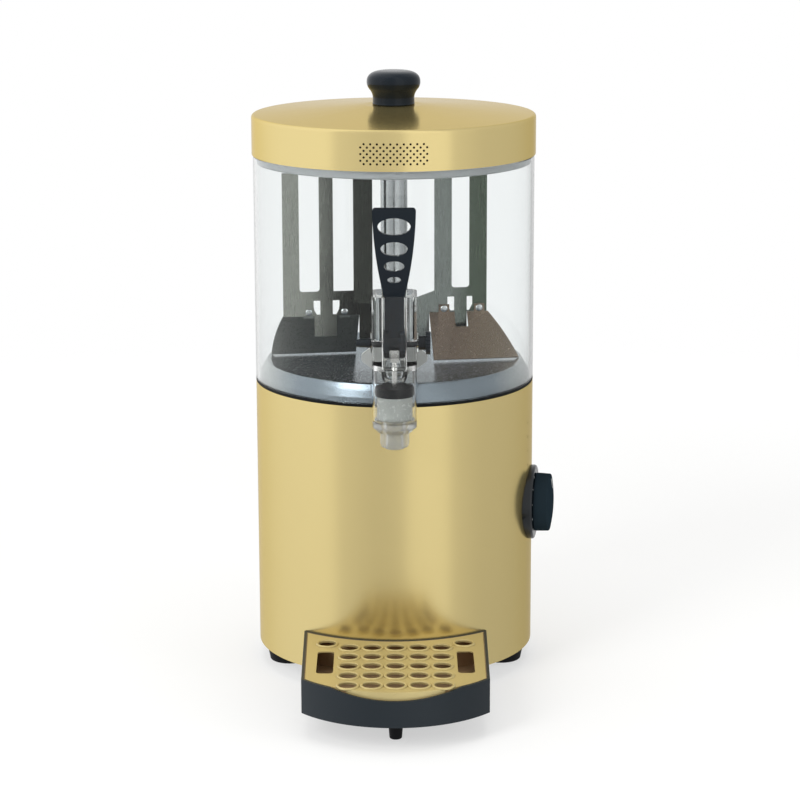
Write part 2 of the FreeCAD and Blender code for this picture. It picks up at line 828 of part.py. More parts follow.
def make_plunger_seal():
    high = seal_low + seal_height
    seal = turned((rod_radius + touch_gap, seal_low), (seal_radius - 0.8, seal_low),
                  ((seal_radius, seal_low + seal_height / 2), (seal_radius - 0.8, high)),
                  (rod_radius + touch_gap, high))
    notches = []
    for angle in (35, 90, 145):
        x = seal_radius * math.cos(math.radians(angle))
        y = seal_radius * math.sin(math.radians(angle))
        notches.append(Part.makeCylinder(seal_notch_radius, seal_height + 2, V(x, y, seal_low - 1)))
    seal = seal.cut(Part.makeCompound(notches))
    seal.translate(V(0, -tap_out, 0))
    return seal


def make_plunger_rod():
    rod = Part.makeCylinder(rod_radius, crosshead_low + 1 - seat_high - 3, V(0, -tap_out, seat_high + 3))
    half = crosshead_width / 2
    bar_front = -tap_out - rod_radius
    block_front = -tap_out + lever_hub_radius + 0.5
    block_back = -tap_out + link_back + 4.6
    bar = Part.makeBox(crosshead_width, block_back - bar_front, crosshead_bar, V(-half, bar_front, crosshead_low))
    block = Part.makeBox(crosshead_width, block_back - block_front, crosshead_high - crosshead_low,
                         V(-half, block_front, crosshead_low))
    link_z = pivot_height - link_drop
    start = -tap_out + link_back - link_radius - 0.6
    slot = Part.makeBox(crosshead_width + 2, 20.0, hook_slot, V(-half - 1, start, link_z - hook_slot / 2))
    return joined(rod, bar, block).cut(slot)


def make_tap_lever():
    half = lever_width / 2
    top_half = paddle_top_width / 2
    low_z = paddle_low - 1
    middle = (low_z + paddle_high) / 2
    bulge = (half + top_half) / 2 + paddle_waist_bulge
    paddle = plate((-half, low_z), [(half, low_z), ((bulge, middle), (top_half, paddle_high - 3)),
                                    ((top_half - 0.8, paddle_high - 0.8), (top_half - 3, paddle_high)),
                                    (-top_half + 3, paddle_high),
                                    ((-top_half + 0.8, paddle_high - 0.8), (-top_half, paddle_high - 3)),
                                    ((-bulge, middle), (-half, low_z))],
                   -tap_out - paddle_thickness / 2, -tap_out + paddle_thickness / 2)
    stem = Part.makeBox(lever_width, lever_thickness, paddle_low - pivot_height,
                        V(-half, -tap_out - lever_thickness / 2, pivot_height))
    hub = along_x(lever_hub_radius, -half, half, -tap_out, pivot_height)
    link_y = -tap_out + link_back
    link_z = pivot_height - link_drop
    cheek = along_x(link_cheek_radius, -half, half, link_y, link_z)
    reach = math.hypot(link_back, link_drop)
    lean = math.degrees(math.atan2(-link_drop, link_back))
    arm = Part.makeBox(lever_width, reach, 2 * link_cheek_radius, V(-half, 0, -link_cheek_radius))
    arm.rotate(V(0, 0, 0), V(1, 0, 0), lean)
    arm.translate(V(0, -tap_out, pivot_height))
    toe = Part.makeBox(lever_width, lever_thickness, pivot_height - lever_low,
                       V(-half, -tap_out - lever_thickness / 2, lever_low))
    discs = along_x(lever_disc_radius, -lever_disc_out, lever_disc_out, -tap_out, pivot_height)
    discs = discs.cut(along_x(lever_disc_radius + 1, -link_cheek_gap, link_cheek_gap, -tap_out, pivot_height))
    lever = joined(paddle, stem, hub, cheek, arm, toe, discs)
    notch = Part.makeBox(2 * link_cheek_gap, 60.0, pivot_height - lever_low + 20,
                         V(-link_cheek_gap, -tap_out - lever_hub_radius, lever_low - 20))
    back = Part.makeBox(2 * link_cheek_gap, 40.0, lever_hub_radius,
                        V(-link_cheek_gap, -tap_out + lever_thickness / 2 + touch_gap, pivot_height))
    barrel = along_x(lever_hub_radius, -lever_disc_out, lever_disc_out, -tap_out, pivot_height)
    lever = lever.cut(notch.fuse(back).cut(barrel))
    lever = lever.cut(along_x(pivot_pin_radius + run_gap, -60, 60, -tap_out, pivot_height))
    lever = lever.cut(along_x(link_radius + touch_gap, -60, 60, link_y, link_z))
    for height, wide, tall in paddle_holes:
        ellipse = Part.Ellipse(V(0, 0, 0), wide / 2, tall / 2)
        face = Part.Face(Part.Wire([ellipse.toShape()]))
        face.rotate(V(0, 0, 0), V(1, 0, 0), 90)
        face.translate(V(0, -tap_out + 10, height))
        lever = lever.cut(face.extrude(V(0, -20, 0)))
    return lever


def make_link_pin():
    half = lever_width / 2
    return along_x(link_radius, -half, half, -tap_out + link_back, pivot_height - link_drop)


def make_pivot_pin():
    half = housing_half + boss_out
    shank = along_x(pivot_pin_radius, -half - 1, half + thumb_neck - 0.5, -tap_out, pivot_height)
    tail = Part.makeCone(pivot_tail_radius, pivot_tail_tip_radius, pivot_tail, V(-half, -tap_out, pivot_height),
                         V(-1, 0, 0))
    return joined(shank, tail)


def make_thumb_nut():
    start = housing_half + boss_out
    neck = along_x(thumb_neck_radius, start, start + thumb_neck + 0.5, -tap_out, pivot_height)
    disc = along_x(thumb_disc_radius, start + thumb_neck, start + thumb_neck + thumb_disc, -tap_out, pivot_height)
    nut = joined(neck, disc)
    cutters = [along_x(pivot_pin_radius + touch_gap, start - 1, start + thumb_neck, -tap_out, pivot_height)]
    for i in range(thumb_ridges):
        angle = 2 * math.pi * i / thumb_ridges
        y = -tap_out + (thumb_disc_radius + 0.3) * math.cos(angle)
        z = pivot_height + (thumb_disc_radius + 0.3) * math.sin(angle)
        cutters.append(along_x(thumb_ridge_depth + 0.3, start + thumb_neck - 1, start + thumb_neck + 10, y, z))
    return nut.cut(Part.makeCompound(cutters))


# agitator: each wing is made pointing along +X and then turned into place


def turned_wing(shape, half_turn):
    shape.rotate(V(0, 0, 0), V(0, 0, 1), agitator_turn + (180.0 if half_turn else 0.0))
    return shape


def make_agitator_tube():
    return ring(hub_radius, hub_radius - hub_wall, hub_low, hub_high - sheet).fuse(
        ring(hub_radius, 0, hub_high - sheet, hub_high)).removeSplitter()


def make_drive_plug():
    side = shaft_square + socket_play
    plug = ring(hub_radius - hub_wall - touch_gap, 0, shaft_shoulder, plug_high)
    socket = Part.makeBox(side, side, shaft_square_length + 1, V(-side / 2, -side / 2, shaft_shoulder - 0.5))
    plug = plug.cut(socket)
    plug.rotate(V(0, 0, 0), V(0, 0, 1), agitator_turn)
    return plug


def window(near, far, chamfer_far):
    """Small window beside the tongue, its lower outer corner cut off."""
    cut = 4.5
    if chamfer_far:
        steps = [(far - cut / 1.5, window_low), (far, window_low + cut * 1.2), (far, window_high), (near, window_high)]
        return plate((near, window_low), steps, -5, 5)
    steps = [(far, window_low), (far, window_high), (near, window_high), (near, window_low + cut * 1.2)]
    return plate((near + cut / 1.5, window_low), steps, -5, 5)


def arm_slot(near, far):
    """Slot between two arms, open at the top, rounded at its foot."""
    r = 3.0
    k = r * (1 - math.sqrt(0.5))
    steps = [(far - r, comb_slot_low), ((far - k, comb_slot_low + k), (far, comb_slot_low + r)),
             (far, comb_top + 5), (near, comb_top + 5), (near, comb_slot_low + r),
             ((near + k, comb_slot_low + k), (near + r, comb_slot_low))]
    return plate((near + r, comb_slot_low), steps, -5, 5)


right_arms = ((38.0, 54.4), (71.2, 87.8))
left_arms = ((22.2, 38.0), (57.3, 70.2), (89.0, 104.3))
right_tongue = (56.9, 68.8, 317.0)
left_tongue = (54.4, 75.3, 312.0)
rivet_spots = (47.0, 80.5)
rivet_height = scraper_top + ear_height / 2
hub_join = hub_radius + touch_gap


def make_comb_right():
    outer = right_arms[1][1]
    inner = right_arms[0][0]
    low, high, tip = right_tongue
    steps = [(web_reach, web_low), (web_reach, comb_low), (low, comb_low), (low, tip), (high, tip),
             (high, comb_low), (outer, comb_low), (outer, comb_top), (inner, comb_top), (inner, comb_low + 20.5),
             (22.0, comb_low + 15), (hub_join, comb_low + 12)]
    comb = plate((hub_join, web_low), steps, -blade_sheet / 2, blade_sheet / 2)
    comb = comb.cut(arm_slot(right_arms[0][1], right_arms[1][0]))
    comb = comb.cut(window(50.4, low, False)).cut(window(high, 74.2, True))
    comb = comb.cut(Part.makeCompound([along_y(rivet_radius + touch_gap, -5, 5, x, rivet_height)
                                       for x in rivet_spots]))
    return turned_wing(comb, False)


def make_comb_left():
    outer = left_arms[2][1]
    inner = left_arms[0][1]
    low, high, tip = left_tongue
    steps = [(web_reach, web_low), (web_reach, comb_low), (low, comb_low), (low, tip), (high, tip),
             (high, comb_low), (outer, comb_low), (outer, comb_top), (left_arms[1][0], comb_top),
             (left_arms[1][0], comb_slot_low), (inner, comb_slot_low), (24.0, comb_low + 17), (hub_join, comb_low + 12)]
    comb = plate((hub_join, web_low), steps, -blade_sheet / 2, blade_sheet / 2)
    comb = comb.cut(arm_slot(left_arms[1][1], left_arms[2][0]))
    comb = comb.cut(window(51.7, 58.1, False)).cut(window(69.7, 76.0, True))
    comb = comb.cut(Part.makeCompound([along_y(rivet_radius + touch_gap, -5, 5, x, rivet_height)
                                       for x in rivet_spots]))
    reach = inner - left_arms[0][0]
    lean = 35.0
    arm = Part.makeBox(reach / math.cos(math.radians(lean)), blade_sheet, comb_top - comb_low - 12,
                       V(0, -blade_sheet / 2, comb_low + 12))
    arm.rotate(V(0, 0, 0), V(0, 0, 1), 180 - lean)
    arm.translate(V(inner, 0, 0))
    return turned_wing(joined(comb, arm), True)


def make_scraper(reach_top, notch):
    """Leaning floor scraper with two riveted ears, behind the comb's lower edge."""
    low = plate_high + scraper_clearance
    drop = scraper_top - low
    slope = math.degrees(math.atan2(scraper_lean, drop))
    length = math.hypot(scraper_lean, drop)
    bulge = ((reach_top + scraper_reach) / 2 + 2.0, -length / 2)
    sheet_face = plate((web_reach, 0), [(reach_top, 0), (bulge, (scraper_reach, -length)), (web_reach, -length)],
                       -blade_sheet, 0)
    if notch:
        low_x, high_x, tip = right_tongue
        sheet_face = sheet_face.cut(Part.makeBox(high_x - low_x, 10, 16.0, V(low_x, -5, -15.0)))
    sheet_face.rotate(V(0, 0, 0), V(1, 0, 0), -slope)
    sheet_face.translate(V(0, -blade_sheet / 2 - touch_gap, scraper_top))
    bodies = [sheet_face]
    for x in rivet_spots:
        ear = Part.makeBox(ear_width, blade_sheet, ear_height + 2.0,
                           V(x - ear_width / 2, -1.5 * blade_sheet - touch_gap, scraper_top - 2.0))
        bodies.append(ear.cut(along_y(rivet_radius + touch_gap, -5, 5, x, rivet_height)))
    scraper = joined(*bodies)
    low_cut = Part.makeBox(400, 400, 50, V(-200, -200, low - 50))
    return scraper.cut(low_cut)


def make_scraper_right():
    return turned_wing(make_scraper(right_arms[1][1] + 0.8, True), False)


def make_scraper_left():
    return turned_wing(make_scraper(left_arms[2][1] + 0.4, False), True)


def make_agitator_rivets():
    rivets = []
    stack = 2 * blade_sheet + touch_gap
    back = -1.5 * blade_sheet - touch_gap
    for half_turn in (False, True):
        for x in rivet_spots:
            shank = along_y(rivet_radius, back, back + stack, x, rivet_height)
            front_head = Part.makeCone(rivet_head_radius, rivet_head_radius - 1.4, rivet_head,
                                       V(x, back + stack, rivet_height), V(0, 1, 0))
            back_head = Part.makeCone(rivet_head_radius, rivet_head_radius - 1.4, rivet_head,
                                      V(x, back, rivet_height), V(0, -1, 0))
            rivets.append(turned_wing(joined(shank, front_head, back_head), half_turn))
    return Part.makeCompound(rivets)


# lid


def make_lid_shell():
    inner = lid_radius - sheet
    r = lid_edge_round
    k = r * (1 - math.sqrt(0.5))
    top = lid_edge + lid_rise
    shell = turned((inner, lid_low), (lid_radius, lid_low), (lid_radius, lid_edge - r),
                   ((lid_radius - k, lid_edge - k), (lid_radius - r, lid_edge)),
                   (knob_base_radius + 8, top), (knob_bore_radius + touch_gap, top),
                   (knob_bore_radius + touch_gap, top - sheet), (knob_base_radius + 8, top - sheet),
                   (inner - r, lid_edge - sheet), (inner, lid_edge - sheet - r + 0.6))
    holes = []
    for row in range(perforation_rows):
        count = perforation_long_row if row % 2 else perforation_long_row - 1
        height = lid_low + perforation_low + row * perforation_row_pitch
        for i in range(count):
            arc = (i - (count - 1) / 2) * perforation_pitch
            azimuth = math.degrees(arc / lid_radius)
            holes.append(spoke(azimuth, perforation_radius, inner - 4, lid_radius + 4, height))
    return shell.cut(Part.makeCompound(holes))


def make_lid_liner():
    outer = tank_bore - slide_gap
    flange = lid_radius - sheet - touch_gap
    return turned((outer - liner_wall, tank_high - liner_plug_height), (outer - 0.8, tank_high - liner_plug_height),
                  (outer, tank_high - liner_plug_height + 1.0), (outer, tank_high), (flange, tank_high),
                  (flange, tank_high + liner_flange_height), (outer - liner_wall, tank_high + liner_flange_height))


def make_lid_knob():
    low = lid_edge + lid_rise
    neck = low + knob_neck_height
    wide = low + knob_widest_height
    top = low + knob_height
    near = knob_widest_radius - 2.6
    knob = turned((0, low), (knob_base_radius - 0.4, low), ((knob_base_radius + 0.3, low + 0.9),
                  (knob_base_radius - 0.2, low + 1.8)), (knob_base_radius - 0.2, neck),
                  ((knob_base_radius + 1.3, neck + 3.6), (knob_widest_radius - 0.85, wide - 4.0)),
                  ((knob_widest_radius - 0.2, wide - 2.0), (knob_widest_radius, wide)),
                  ((knob_widest_radius - 0.5, wide + 4.4), (near, wide + 7.6)),
                  ((near - 3.4, top - 1.3), (knob_shoulder_radius - 4.0, top - 0.5)),
                  ((knob_shoulder_radius / 2, top - 0.15), (1.0, top)), (0, top))
    return knob.cut(ring(knob_bore_radius, 0, low - 1, low + knob_bore_depth))


def make_knob_screw():
    seat = lid_edge + lid_rise - sheet
    head = ring(knob_screw_head_radius, 0, seat - knob_screw_head, seat)
    shank = ring(knob_screw_radius, 0, seat - knob_screw_head, seat + knob_screw_length)
    cross = Part.makeBox(2 * knob_screw_head_radius, 1.2, 1.4,
                         V(-knob_screw_head_radius, -0.6, seat - knob_screw_head - 0.1))
    return joined(head, shank).cut(cross)


# drip tray


def tray_face_steps(inset, front_inset):
    """Outline of the tray in (x, y), drawn in from the outside by an inset."""
    rear_radius = body_radius + tray_gap + inset
    rear_half = tray_rear_half - inset
    front_half = tray_front_half - inset
    front_radius = tray_front_radius - front_inset
    centre_y = -tray_front + tray_front_radius
    rear_y = -math.sqrt(rear_radius ** 2 - rear_half ** 2)
    front_y = centre_y - math.sqrt(front_radius ** 2 - front_half ** 2)
    start = (-rear_half, rear_y)
    steps = [((0.0, -rear_radius), (rear_half, rear_y)), (front_half, front_y),
             ((0.0, centre_y - front_radius), (-front_half, front_y))]
    return start, steps


def tray_prism(inset, front_inset, low, high):
    """Block of the tray's plan shape."""
    start, steps = tray_face_steps(inset, front_inset)
    return prism(start, steps, low, high)


def scallop_cutter(low_z):
    """Lying cylinder that dips the tray's front edge."""
    half = tray_scallop_half
    depth = tray_rim - low_z
    radius = (half * half + depth * depth) / (2 * depth)
    return along_y(radius, -tray_front - 5, -tray_front_radius - 95, 0, low_z + radius)


grid_low = tray_rim - grid_sheet


def make_drip_tray():
    block = tray_prism(0.0, 0.0, tray_low, tray_rim)
    recess = tray_prism(tray_wall, tray_wall, grid_low, tray_rim + 5)
    hollow = tray_prism(tray_wall + tray_ledge, tray_wall, tray_low + tray_floor, tray_rim + 5)
    tray = block.cut(recess).cut(hollow).cut(scallop_cutter(tray_rim - tray_scallop_depth))
    hooks = []
    for side in (-1, 1):
        x = side * tray_hook_at
        wall = math.sqrt(body_radius ** 2 - tray_hook_at ** 2)
        hooks.append(Part.makeBox(tray_hook_width, tray_hook_reach + 6.0, tray_hook_height,
                                  V(x - tray_hook_width / 2, -wall - 6.0, tray_hook_low)))
    return joined(tray, *hooks)


def make_tray_foot():
    foot = turned((0, 0), (tray_foot_sole_radius - 1.5, 0), ((tray_foot_sole_radius - 0.4, 0.4),
                  (tray_foot_sole_radius, 1.5)), (tray_foot_radius, tray_low), (0, tray_low))
    foot.translate(V(0, -tray_foot_out, 0))
    return foot


def grid_spots():
    """Centres of the grid's round holes."""
    spots = []
    for row in range(grid_rows):
        for column in range(grid_columns):
            x = (column - (grid_columns - 1) / 2) * grid_pitch_x
            spots.append((x, -grid_front_row + row * grid_pitch_y))
    spots.append((grid_corner_x, -grid_corner_y))
    spots.append((-grid_corner_x, -grid_corner_y))
    return spots


def make_drip_grid():
    inset = tray_wall + slide_gap
    top = tray_prism(inset, inset, grid_low, tray_rim)
    lip = tray_prism(inset, inset, tray_rim - grid_lip, tray_rim)
    lip = lip.cut(tray_prism(inset, inset + grid_sheet, tray_rim - grid_lip - 1, tray_rim + 1))
    lip = lip.common(Part.makeBox(2 * (tray_front_half - inset - tray_ledge - slide_gap), 80.0, 60.0,
                                  V(-(tray_front_half - inset - tray_ledge - slide_gap), -tray_front, 20.0)))
    bodies = [top, lip]
    for x, y in grid_spots():
        bodies.append(Part.makeCylinder(grid_hole_radius + grid_ring_width, grid_sheet / 2 + grid_ring_height,
                                        V(x, y, grid_low + grid_sheet / 2)))
    plate_body = joined(*bodies)
    cutters = [Part.makeCylinder(grid_hole_radius, 20.0, V(x, y, grid_low - 10)) for x, y in grid_spots()]
    for side in (-1, 1):
        low_x = min(side * grid_slot_inner, side * grid_slot_outer)
        high_x = max(side * grid_slot_inner, side * grid_slot_outer)
        cutters.append(rounded_block(low_x, high_x, -grid_slot_front, -grid_slot_rear, grid_low - 5, tray_rim + 5,
                                     grid_slot_round))
    return plate_body.cut(Part.makeCompound(cutters))


pieces = {
    "body_shell": make_body_shell,
    "case_top_ring": make_case_top_ring,
    "case_bottom_ring": make_case_bottom_ring,
    "base_plate": make_base_plate,
    "base_screws": make_base_screws,
    "foot_front_right": lambda: make_foot(foot_azimuths[0]),
    "foot_front_left": lambda: make_foot(foot_azimuths[1]),
    "foot_rear_right": lambda: make_foot(foot_azimuths[2]),
    "foot_rear_left": lambda: make_foot(foot_azimuths[3]),
    "foot_screws": make_foot_screws,
    "tank_gasket": make_tank_gasket,
    "water_bath_pan": make_water_bath_pan,
    "heating_element": make_heating_element,
    "element_nuts": make_element_nuts,
    "shaft_bush": make_shaft_bush,
    "gearbox": make_gearbox,
    "motor": make_motor,
    "motor_bracket": make_motor_bracket,
    "gearbox_shaft": make_gearbox_shaft,
    "shaft_coupling": make_drive_coupling,
    "drive_shaft": make_drive_shaft,
    "terminal_block": make_terminal_block,
    "cord_gland": make_cord_gland,
    "gland_nut": make_gland_nut,
    "dial_bezel": make_dial_bezel,
    "dial_knob": make_dial_knob,
    "thermostat_spindle": make_thermostat_spindle,
    "thermostat": make_thermostat,
    "tank_cylinder": make_tank_cylinder,
    "tank_floor": make_tank_floor,
    "inlet_saddle": make_inlet_saddle,
    "tap_flange": make_tap_flange,
    "inlet_nut": make_inlet_nut,
    "tap_body": make_tap_body,
    "tap_nozzle": make_tap_nozzle,
    "rod_guide": make_rod_guide,
    "plunger_cup": make_plunger_cup,
    "plunger_seal": make_plunger_seal,
    "plunger_rod": make_plunger_rod,
    "tap_lever": make_tap_lever,
    "lever_link_pin": make_link_pin,
    "lever_pivot_pin": make_pivot_pin,
    "pin_thumb_nut": make_thumb_nut,
    "agitator_tube": make_agitator_tube,
    "drive_plug": make_drive_plug,
    "comb_right": make_comb_right,
    "comb_left": make_comb_left,
    "scraper_right": make_scraper_right,
    "scraper_left": make_scraper_left,
    "agitator_rivets": make_agitator_rivets,
    "lid_shell": make_lid_shell,
    "lid_liner": make_lid_liner,
    "lid_knob": make_lid_knob,
    "lid_knob_screw": make_knob_screw,
    "drip_tray": make_drip_tray,
    "tray_foot": make_tray_foot,
    "drip_grid": make_drip_grid,
}

# the origin is the middle of the footprint: the lid, the dial, the tray and the gland reach furthest out
dial_angle = math.radians(dial_azimuth)
reach_right = dial_knob_out * math.sin(dial_angle) + (dial_knob_radius - 1.0) * math.cos(dial_angle)
origin_x = (reach_right - lid_radius) / 2
origin_y = (body_radius + gland_out - tray_front) / 2

os.makedirs("parts", exist_ok=True)
for name, make in pieces.items():
    shape = make()
    shape.translate(V(-origin_x, -origin_y, 0))
    if not shape.isValid():
        print("not valid:", name)
    shape.exportStep(os.path.join("parts", name + ".step"))
    box = shape.BoundBox
    print(name, len(shape.Solids), round(shape.Volume), [round(v, 1) for v in
          (box.XMin, box.YMin, box.ZMin, box.XMax, box.YMax, box.ZMax)])
print("origin", round(origin_x, 3), round(origin_y, 3))
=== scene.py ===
"""Hot chocolate dispenser machine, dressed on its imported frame.

The tank's upright axis, the floor and the front direction are those of the frame. Lengths in the
dataclasses are millimetres, and become metres where a mesh is made.
"""
import json
import logging
import math
from dataclasses import dataclass, field
from enum import Enum
from typing import Any

import bmesh
import bpy
from mathutils import Matrix, Vector


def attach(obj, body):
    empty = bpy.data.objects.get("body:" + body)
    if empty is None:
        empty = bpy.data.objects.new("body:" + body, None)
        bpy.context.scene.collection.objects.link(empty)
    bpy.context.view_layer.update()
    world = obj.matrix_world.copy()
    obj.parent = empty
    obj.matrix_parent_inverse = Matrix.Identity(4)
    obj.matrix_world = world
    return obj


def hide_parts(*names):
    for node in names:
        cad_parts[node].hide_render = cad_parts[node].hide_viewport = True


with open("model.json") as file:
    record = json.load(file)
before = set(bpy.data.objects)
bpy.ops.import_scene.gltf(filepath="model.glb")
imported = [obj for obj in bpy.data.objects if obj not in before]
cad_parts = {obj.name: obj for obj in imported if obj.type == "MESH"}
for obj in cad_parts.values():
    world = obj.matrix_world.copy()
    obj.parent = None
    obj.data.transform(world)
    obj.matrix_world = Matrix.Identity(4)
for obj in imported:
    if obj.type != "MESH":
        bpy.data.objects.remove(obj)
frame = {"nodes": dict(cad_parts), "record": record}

LOG = logging.getLogger("dispenser")
MM = 0.001
AXIS = Vector((-0.009809, 0.0665, 0.0))

# how far apart corners may lie and still be welded, in metres, and the angle that counts as flat, in degrees
WELD_GAP = 3e-6
FLAT_ANGLE = 0.5
# angle in degrees past which an edge is drawn sharp
SHARP_ANGLE = 32.0
TURNED_SHARP_ANGLE = 28.0
# size of the slow change of tone over a surface, in millimetres
BROAD_MM = 60.0
# range of a noise's value that is stretched to the whole range of gloss
NOISE_RANGE = (0.3, 0.7)
BUMP_STRENGTH = 0.6

Point = tuple[float, float]


class Lay(Enum):
    """Direction in which a metal surface was worked."""

    NONE = "none"
    ROUND = "round"
    UP = "up"


def linear(code: str) -> tuple[float, float, float, float]:
    """Turn an sRGB hex code into a linear colour.

    Args:
        code: Six hex digits.

    Returns:
        The linear colour with full alpha.
    """
    parts = [int(code[i:i + 2], 16) / 255 for i in (0, 2, 4)]
    r, g, b = [p / 12.92 if p <= 0.04045 else ((p + 0.055) / 1.055) ** 2.4 for p in parts]
    return (r, g, b, 1.0)


def add_node(tree: bpy.types.NodeTree, kind: str, inputs: dict[Any, Any] | None = None,
             **settings: Any) -> bpy.types.Node:
    """Add a node with its settings and links.

    Args:
        tree: The tree that gets the node.
        kind: The node's class name.
        inputs: Value or source socket for each input, by name or number.
        settings: The node's own properties.

    Returns:
        The new node.
    """
    node = tree.nodes.new(kind)
    for key, value in settings.items():
        setattr(node, key, value)
    for key, value in (inputs or {}).items():
        if isinstance(value, bpy.types.NodeSocket):
            tree.links.new(value, node.inputs[key])
        else:
            node.inputs[key].default_value = value
    return node


# finishes


@dataclass(frozen=True)
class Finish:
    """A surface finish: a Principled shader with a pattern in millimetres.

    Attributes:
        name: The material's name.
        slot: The material slot of the frame that the finish belongs to; not used.
        colour: Its sRGB hex code.
        roughness: Its mean roughness.
        metallic: Share of metal.
        grain_mm: Size of the grain.
        grain_depth: Depth of the grain in millimetres.
        grain_rough: How far the grain moves the roughness up and down.
        tint: Share by which the colour slowly gets lighter and darker.
        lay: Direction of working.
        anisotropic: Stretch of the gloss.
        transmission: Share of light let through.
        ior: Index of refraction.
        specular: Level of the gloss of what isn't metal.
        painted_reflection_colour: Colour of a painted reflection away from the tank's axis, or nothing.
        painted_reflection_span: Distances from the axis, in millimetres, between which the painted
            reflection's colour sets in.
        inside: Colour of the faces inside, or nothing.
        inside_about: Point that the inside faces look towards, in millimetres.
        edge_tint: Colour of the gloss at a flat angle on metal.
    """

    name: str
    slot: str
    colour: str
    roughness: float = 0.4
    metallic: float = 0.0
    grain_mm: float = 1.0
    grain_depth: float = 0.0
    grain_rough: float = 0.06
    tint: float = 0.03
    lay: Lay = Lay.NONE
    anisotropic: float = 0.0
    transmission: float = 0.0
    ior: float = 1.5
    specular: float = 0.5
    painted_reflection_colour: str = ""
    painted_reflection_span: tuple[float, float] = (0.0, 0.0)
    inside: str = ""
    inside_about: tuple[float, float, float] = (-9.809, 66.5, 400.0)
    edge_tint: str = "FFFFFF"

    def pattern_scale(self) -> tuple[float, float, float]:
        """Stretch the grain along the direction of working.

        Returns:
            The scale of the pattern on each axis.
        """
        if self.lay is Lay.ROUND:
            return (1.0, 1.0, 14.0)
        if self.lay is Lay.UP:
            return (1.0, 1.0, 0.05)
        return (1.0, 1.0, 1.0)

    def material(self) -> bpy.types.Material:
        """Build the material, once.

        Returns:
            The material of this finish.
        """
        known = bpy.data.materials.get(self.name)
        if known:
            return known
        made = bpy.data.materials.new(self.name)
        made.use_nodes = True
        tree = made.node_tree
        shader = tree.nodes["Principled BSDF"]
        values = {"Metallic": self.metallic, "IOR": self.ior,
                  "Transmission Weight": self.transmission, "Anisotropic": self.anisotropic,
                  "Specular IOR Level": self.specular, "Specular Tint": linear(self.edge_tint)}
        for key, value in values.items():
            shader.inputs[key].default_value = value
        place = add_node(tree, "ShaderNodeTexCoord")
        turned = add_node(tree, "ShaderNodeMapping", {"Vector": place.outputs["Object"],
                                                      "Scale": self.pattern_scale()})
        fine = add_node(tree, "ShaderNodeTexNoise", {"Vector": turned.outputs[0], "Detail": 3.0,
                                                     "Scale": 1.0 / (self.grain_mm * MM)})
        broad = add_node(tree, "ShaderNodeTexNoise", {"Vector": place.outputs["Object"], "Detail": 2.0,
                                                      "Scale": 1.0 / (BROAD_MM * MM)})
        low = max(self.roughness - self.grain_rough, 0.0)
        high = self.roughness + self.grain_rough
        rough = add_node(tree, "ShaderNodeMapRange", {"Value": fine.outputs["Fac"],
                                                      "From Min": NOISE_RANGE[0], "From Max": NOISE_RANGE[1],
                                                      "To Min": low, "To Max": high})
        tree.links.new(rough.outputs[0], shader.inputs["Roughness"])
        base = linear(self.colour)
        dark = tuple(c * (1 - self.tint) for c in base[:3]) + (1.0,)
        light = tuple(min(c * (1 + self.tint), 1.0) for c in base[:3]) + (1.0,)
        shade = add_node(tree, "ShaderNodeMix", {0: broad.outputs["Fac"], 6: dark, 7: light},
                         data_type="RGBA")
        # a change of tone sideways from the axis: painted reflection
        if self.painted_reflection_colour:
            shade = self.mix_painted_reflection(tree, place, shade)
        if self.inside:
            shade = self.mix_inside(tree, place, shade)
        tree.links.new(shade.outputs[2], shader.inputs["Base Color"])
        if self.grain_depth > 0:
            bump = add_node(tree, "ShaderNodeBump", {"Height": fine.outputs["Fac"],
                                                     "Strength": BUMP_STRENGTH,
                                                     "Distance": self.grain_depth * MM})
            tree.links.new(bump.outputs[0], shader.inputs["Normal"])
        return made

    def mix_painted_reflection(self, tree: bpy.types.NodeTree, place: bpy.types.Node,
                shade: bpy.types.Node) -> bpy.types.Node:
        """Fade sideways from the tank's axis to the colour of a painted reflection.

        Args:
            tree: The material's tree.
            place: Its texture coordinates.
            shade: The colour near the axis.

        Returns:
            The node with the mixed colour.
        """
        apart = add_node(tree, "ShaderNodeSeparateXYZ", {0: place.outputs["Object"]})
        moved = add_node(tree, "ShaderNodeMath", {0: apart.outputs["X"], 1: AXIS.x}, operation="SUBTRACT")
        reach = add_node(tree, "ShaderNodeMath", {0: moved.outputs[0]}, operation="ABSOLUTE")
        near, far = self.painted_reflection_span
        along = add_node(tree, "ShaderNodeMapRange", {"Value": reach.outputs[0], "From Min": near * MM,
                                                      "From Max": far * MM},
                         interpolation_type="SMOOTHSTEP")
        return add_node(tree, "ShaderNodeMix", {0: along.outputs[0], 6: shade.outputs[2],
                                                7: linear(self.painted_reflection_colour)}, data_type="RGBA")

    def mix_inside(self, tree: bpy.types.NodeTree, place: bpy.types.Node,
                   shade: bpy.types.Node) -> bpy.types.Node:
        """Give the faces on the inside of a cover or a tray another colour: painted shade inside the lid,
        brown inside the tray.

        Args:
            tree: The material's tree.
            place: Its texture coordinates.
            shade: The colour outside.

        Returns:
            The node with the mixed colour.
        """
        middle = tuple(part * MM for part in self.inside_about)
        least_turned = -0.005
        out = add_node(tree, "ShaderNodeVectorMath", {0: place.outputs["Object"], 1: middle},
                       operation="SUBTRACT")
        facing = add_node(tree, "ShaderNodeVectorMath", {0: out.outputs[0], 1: place.outputs["Normal"]},
                          operation="DOT_PRODUCT")
        inner = add_node(tree, "ShaderNodeMath", {0: facing.outputs["Value"], 1: least_turned},
                         operation="LESS_THAN")
        return add_node(tree, "ShaderNodeMix", {0: inner.outputs[0], 6: shade.outputs[2],
                                                7: linear(self.inside)}, data_type="RGBA")


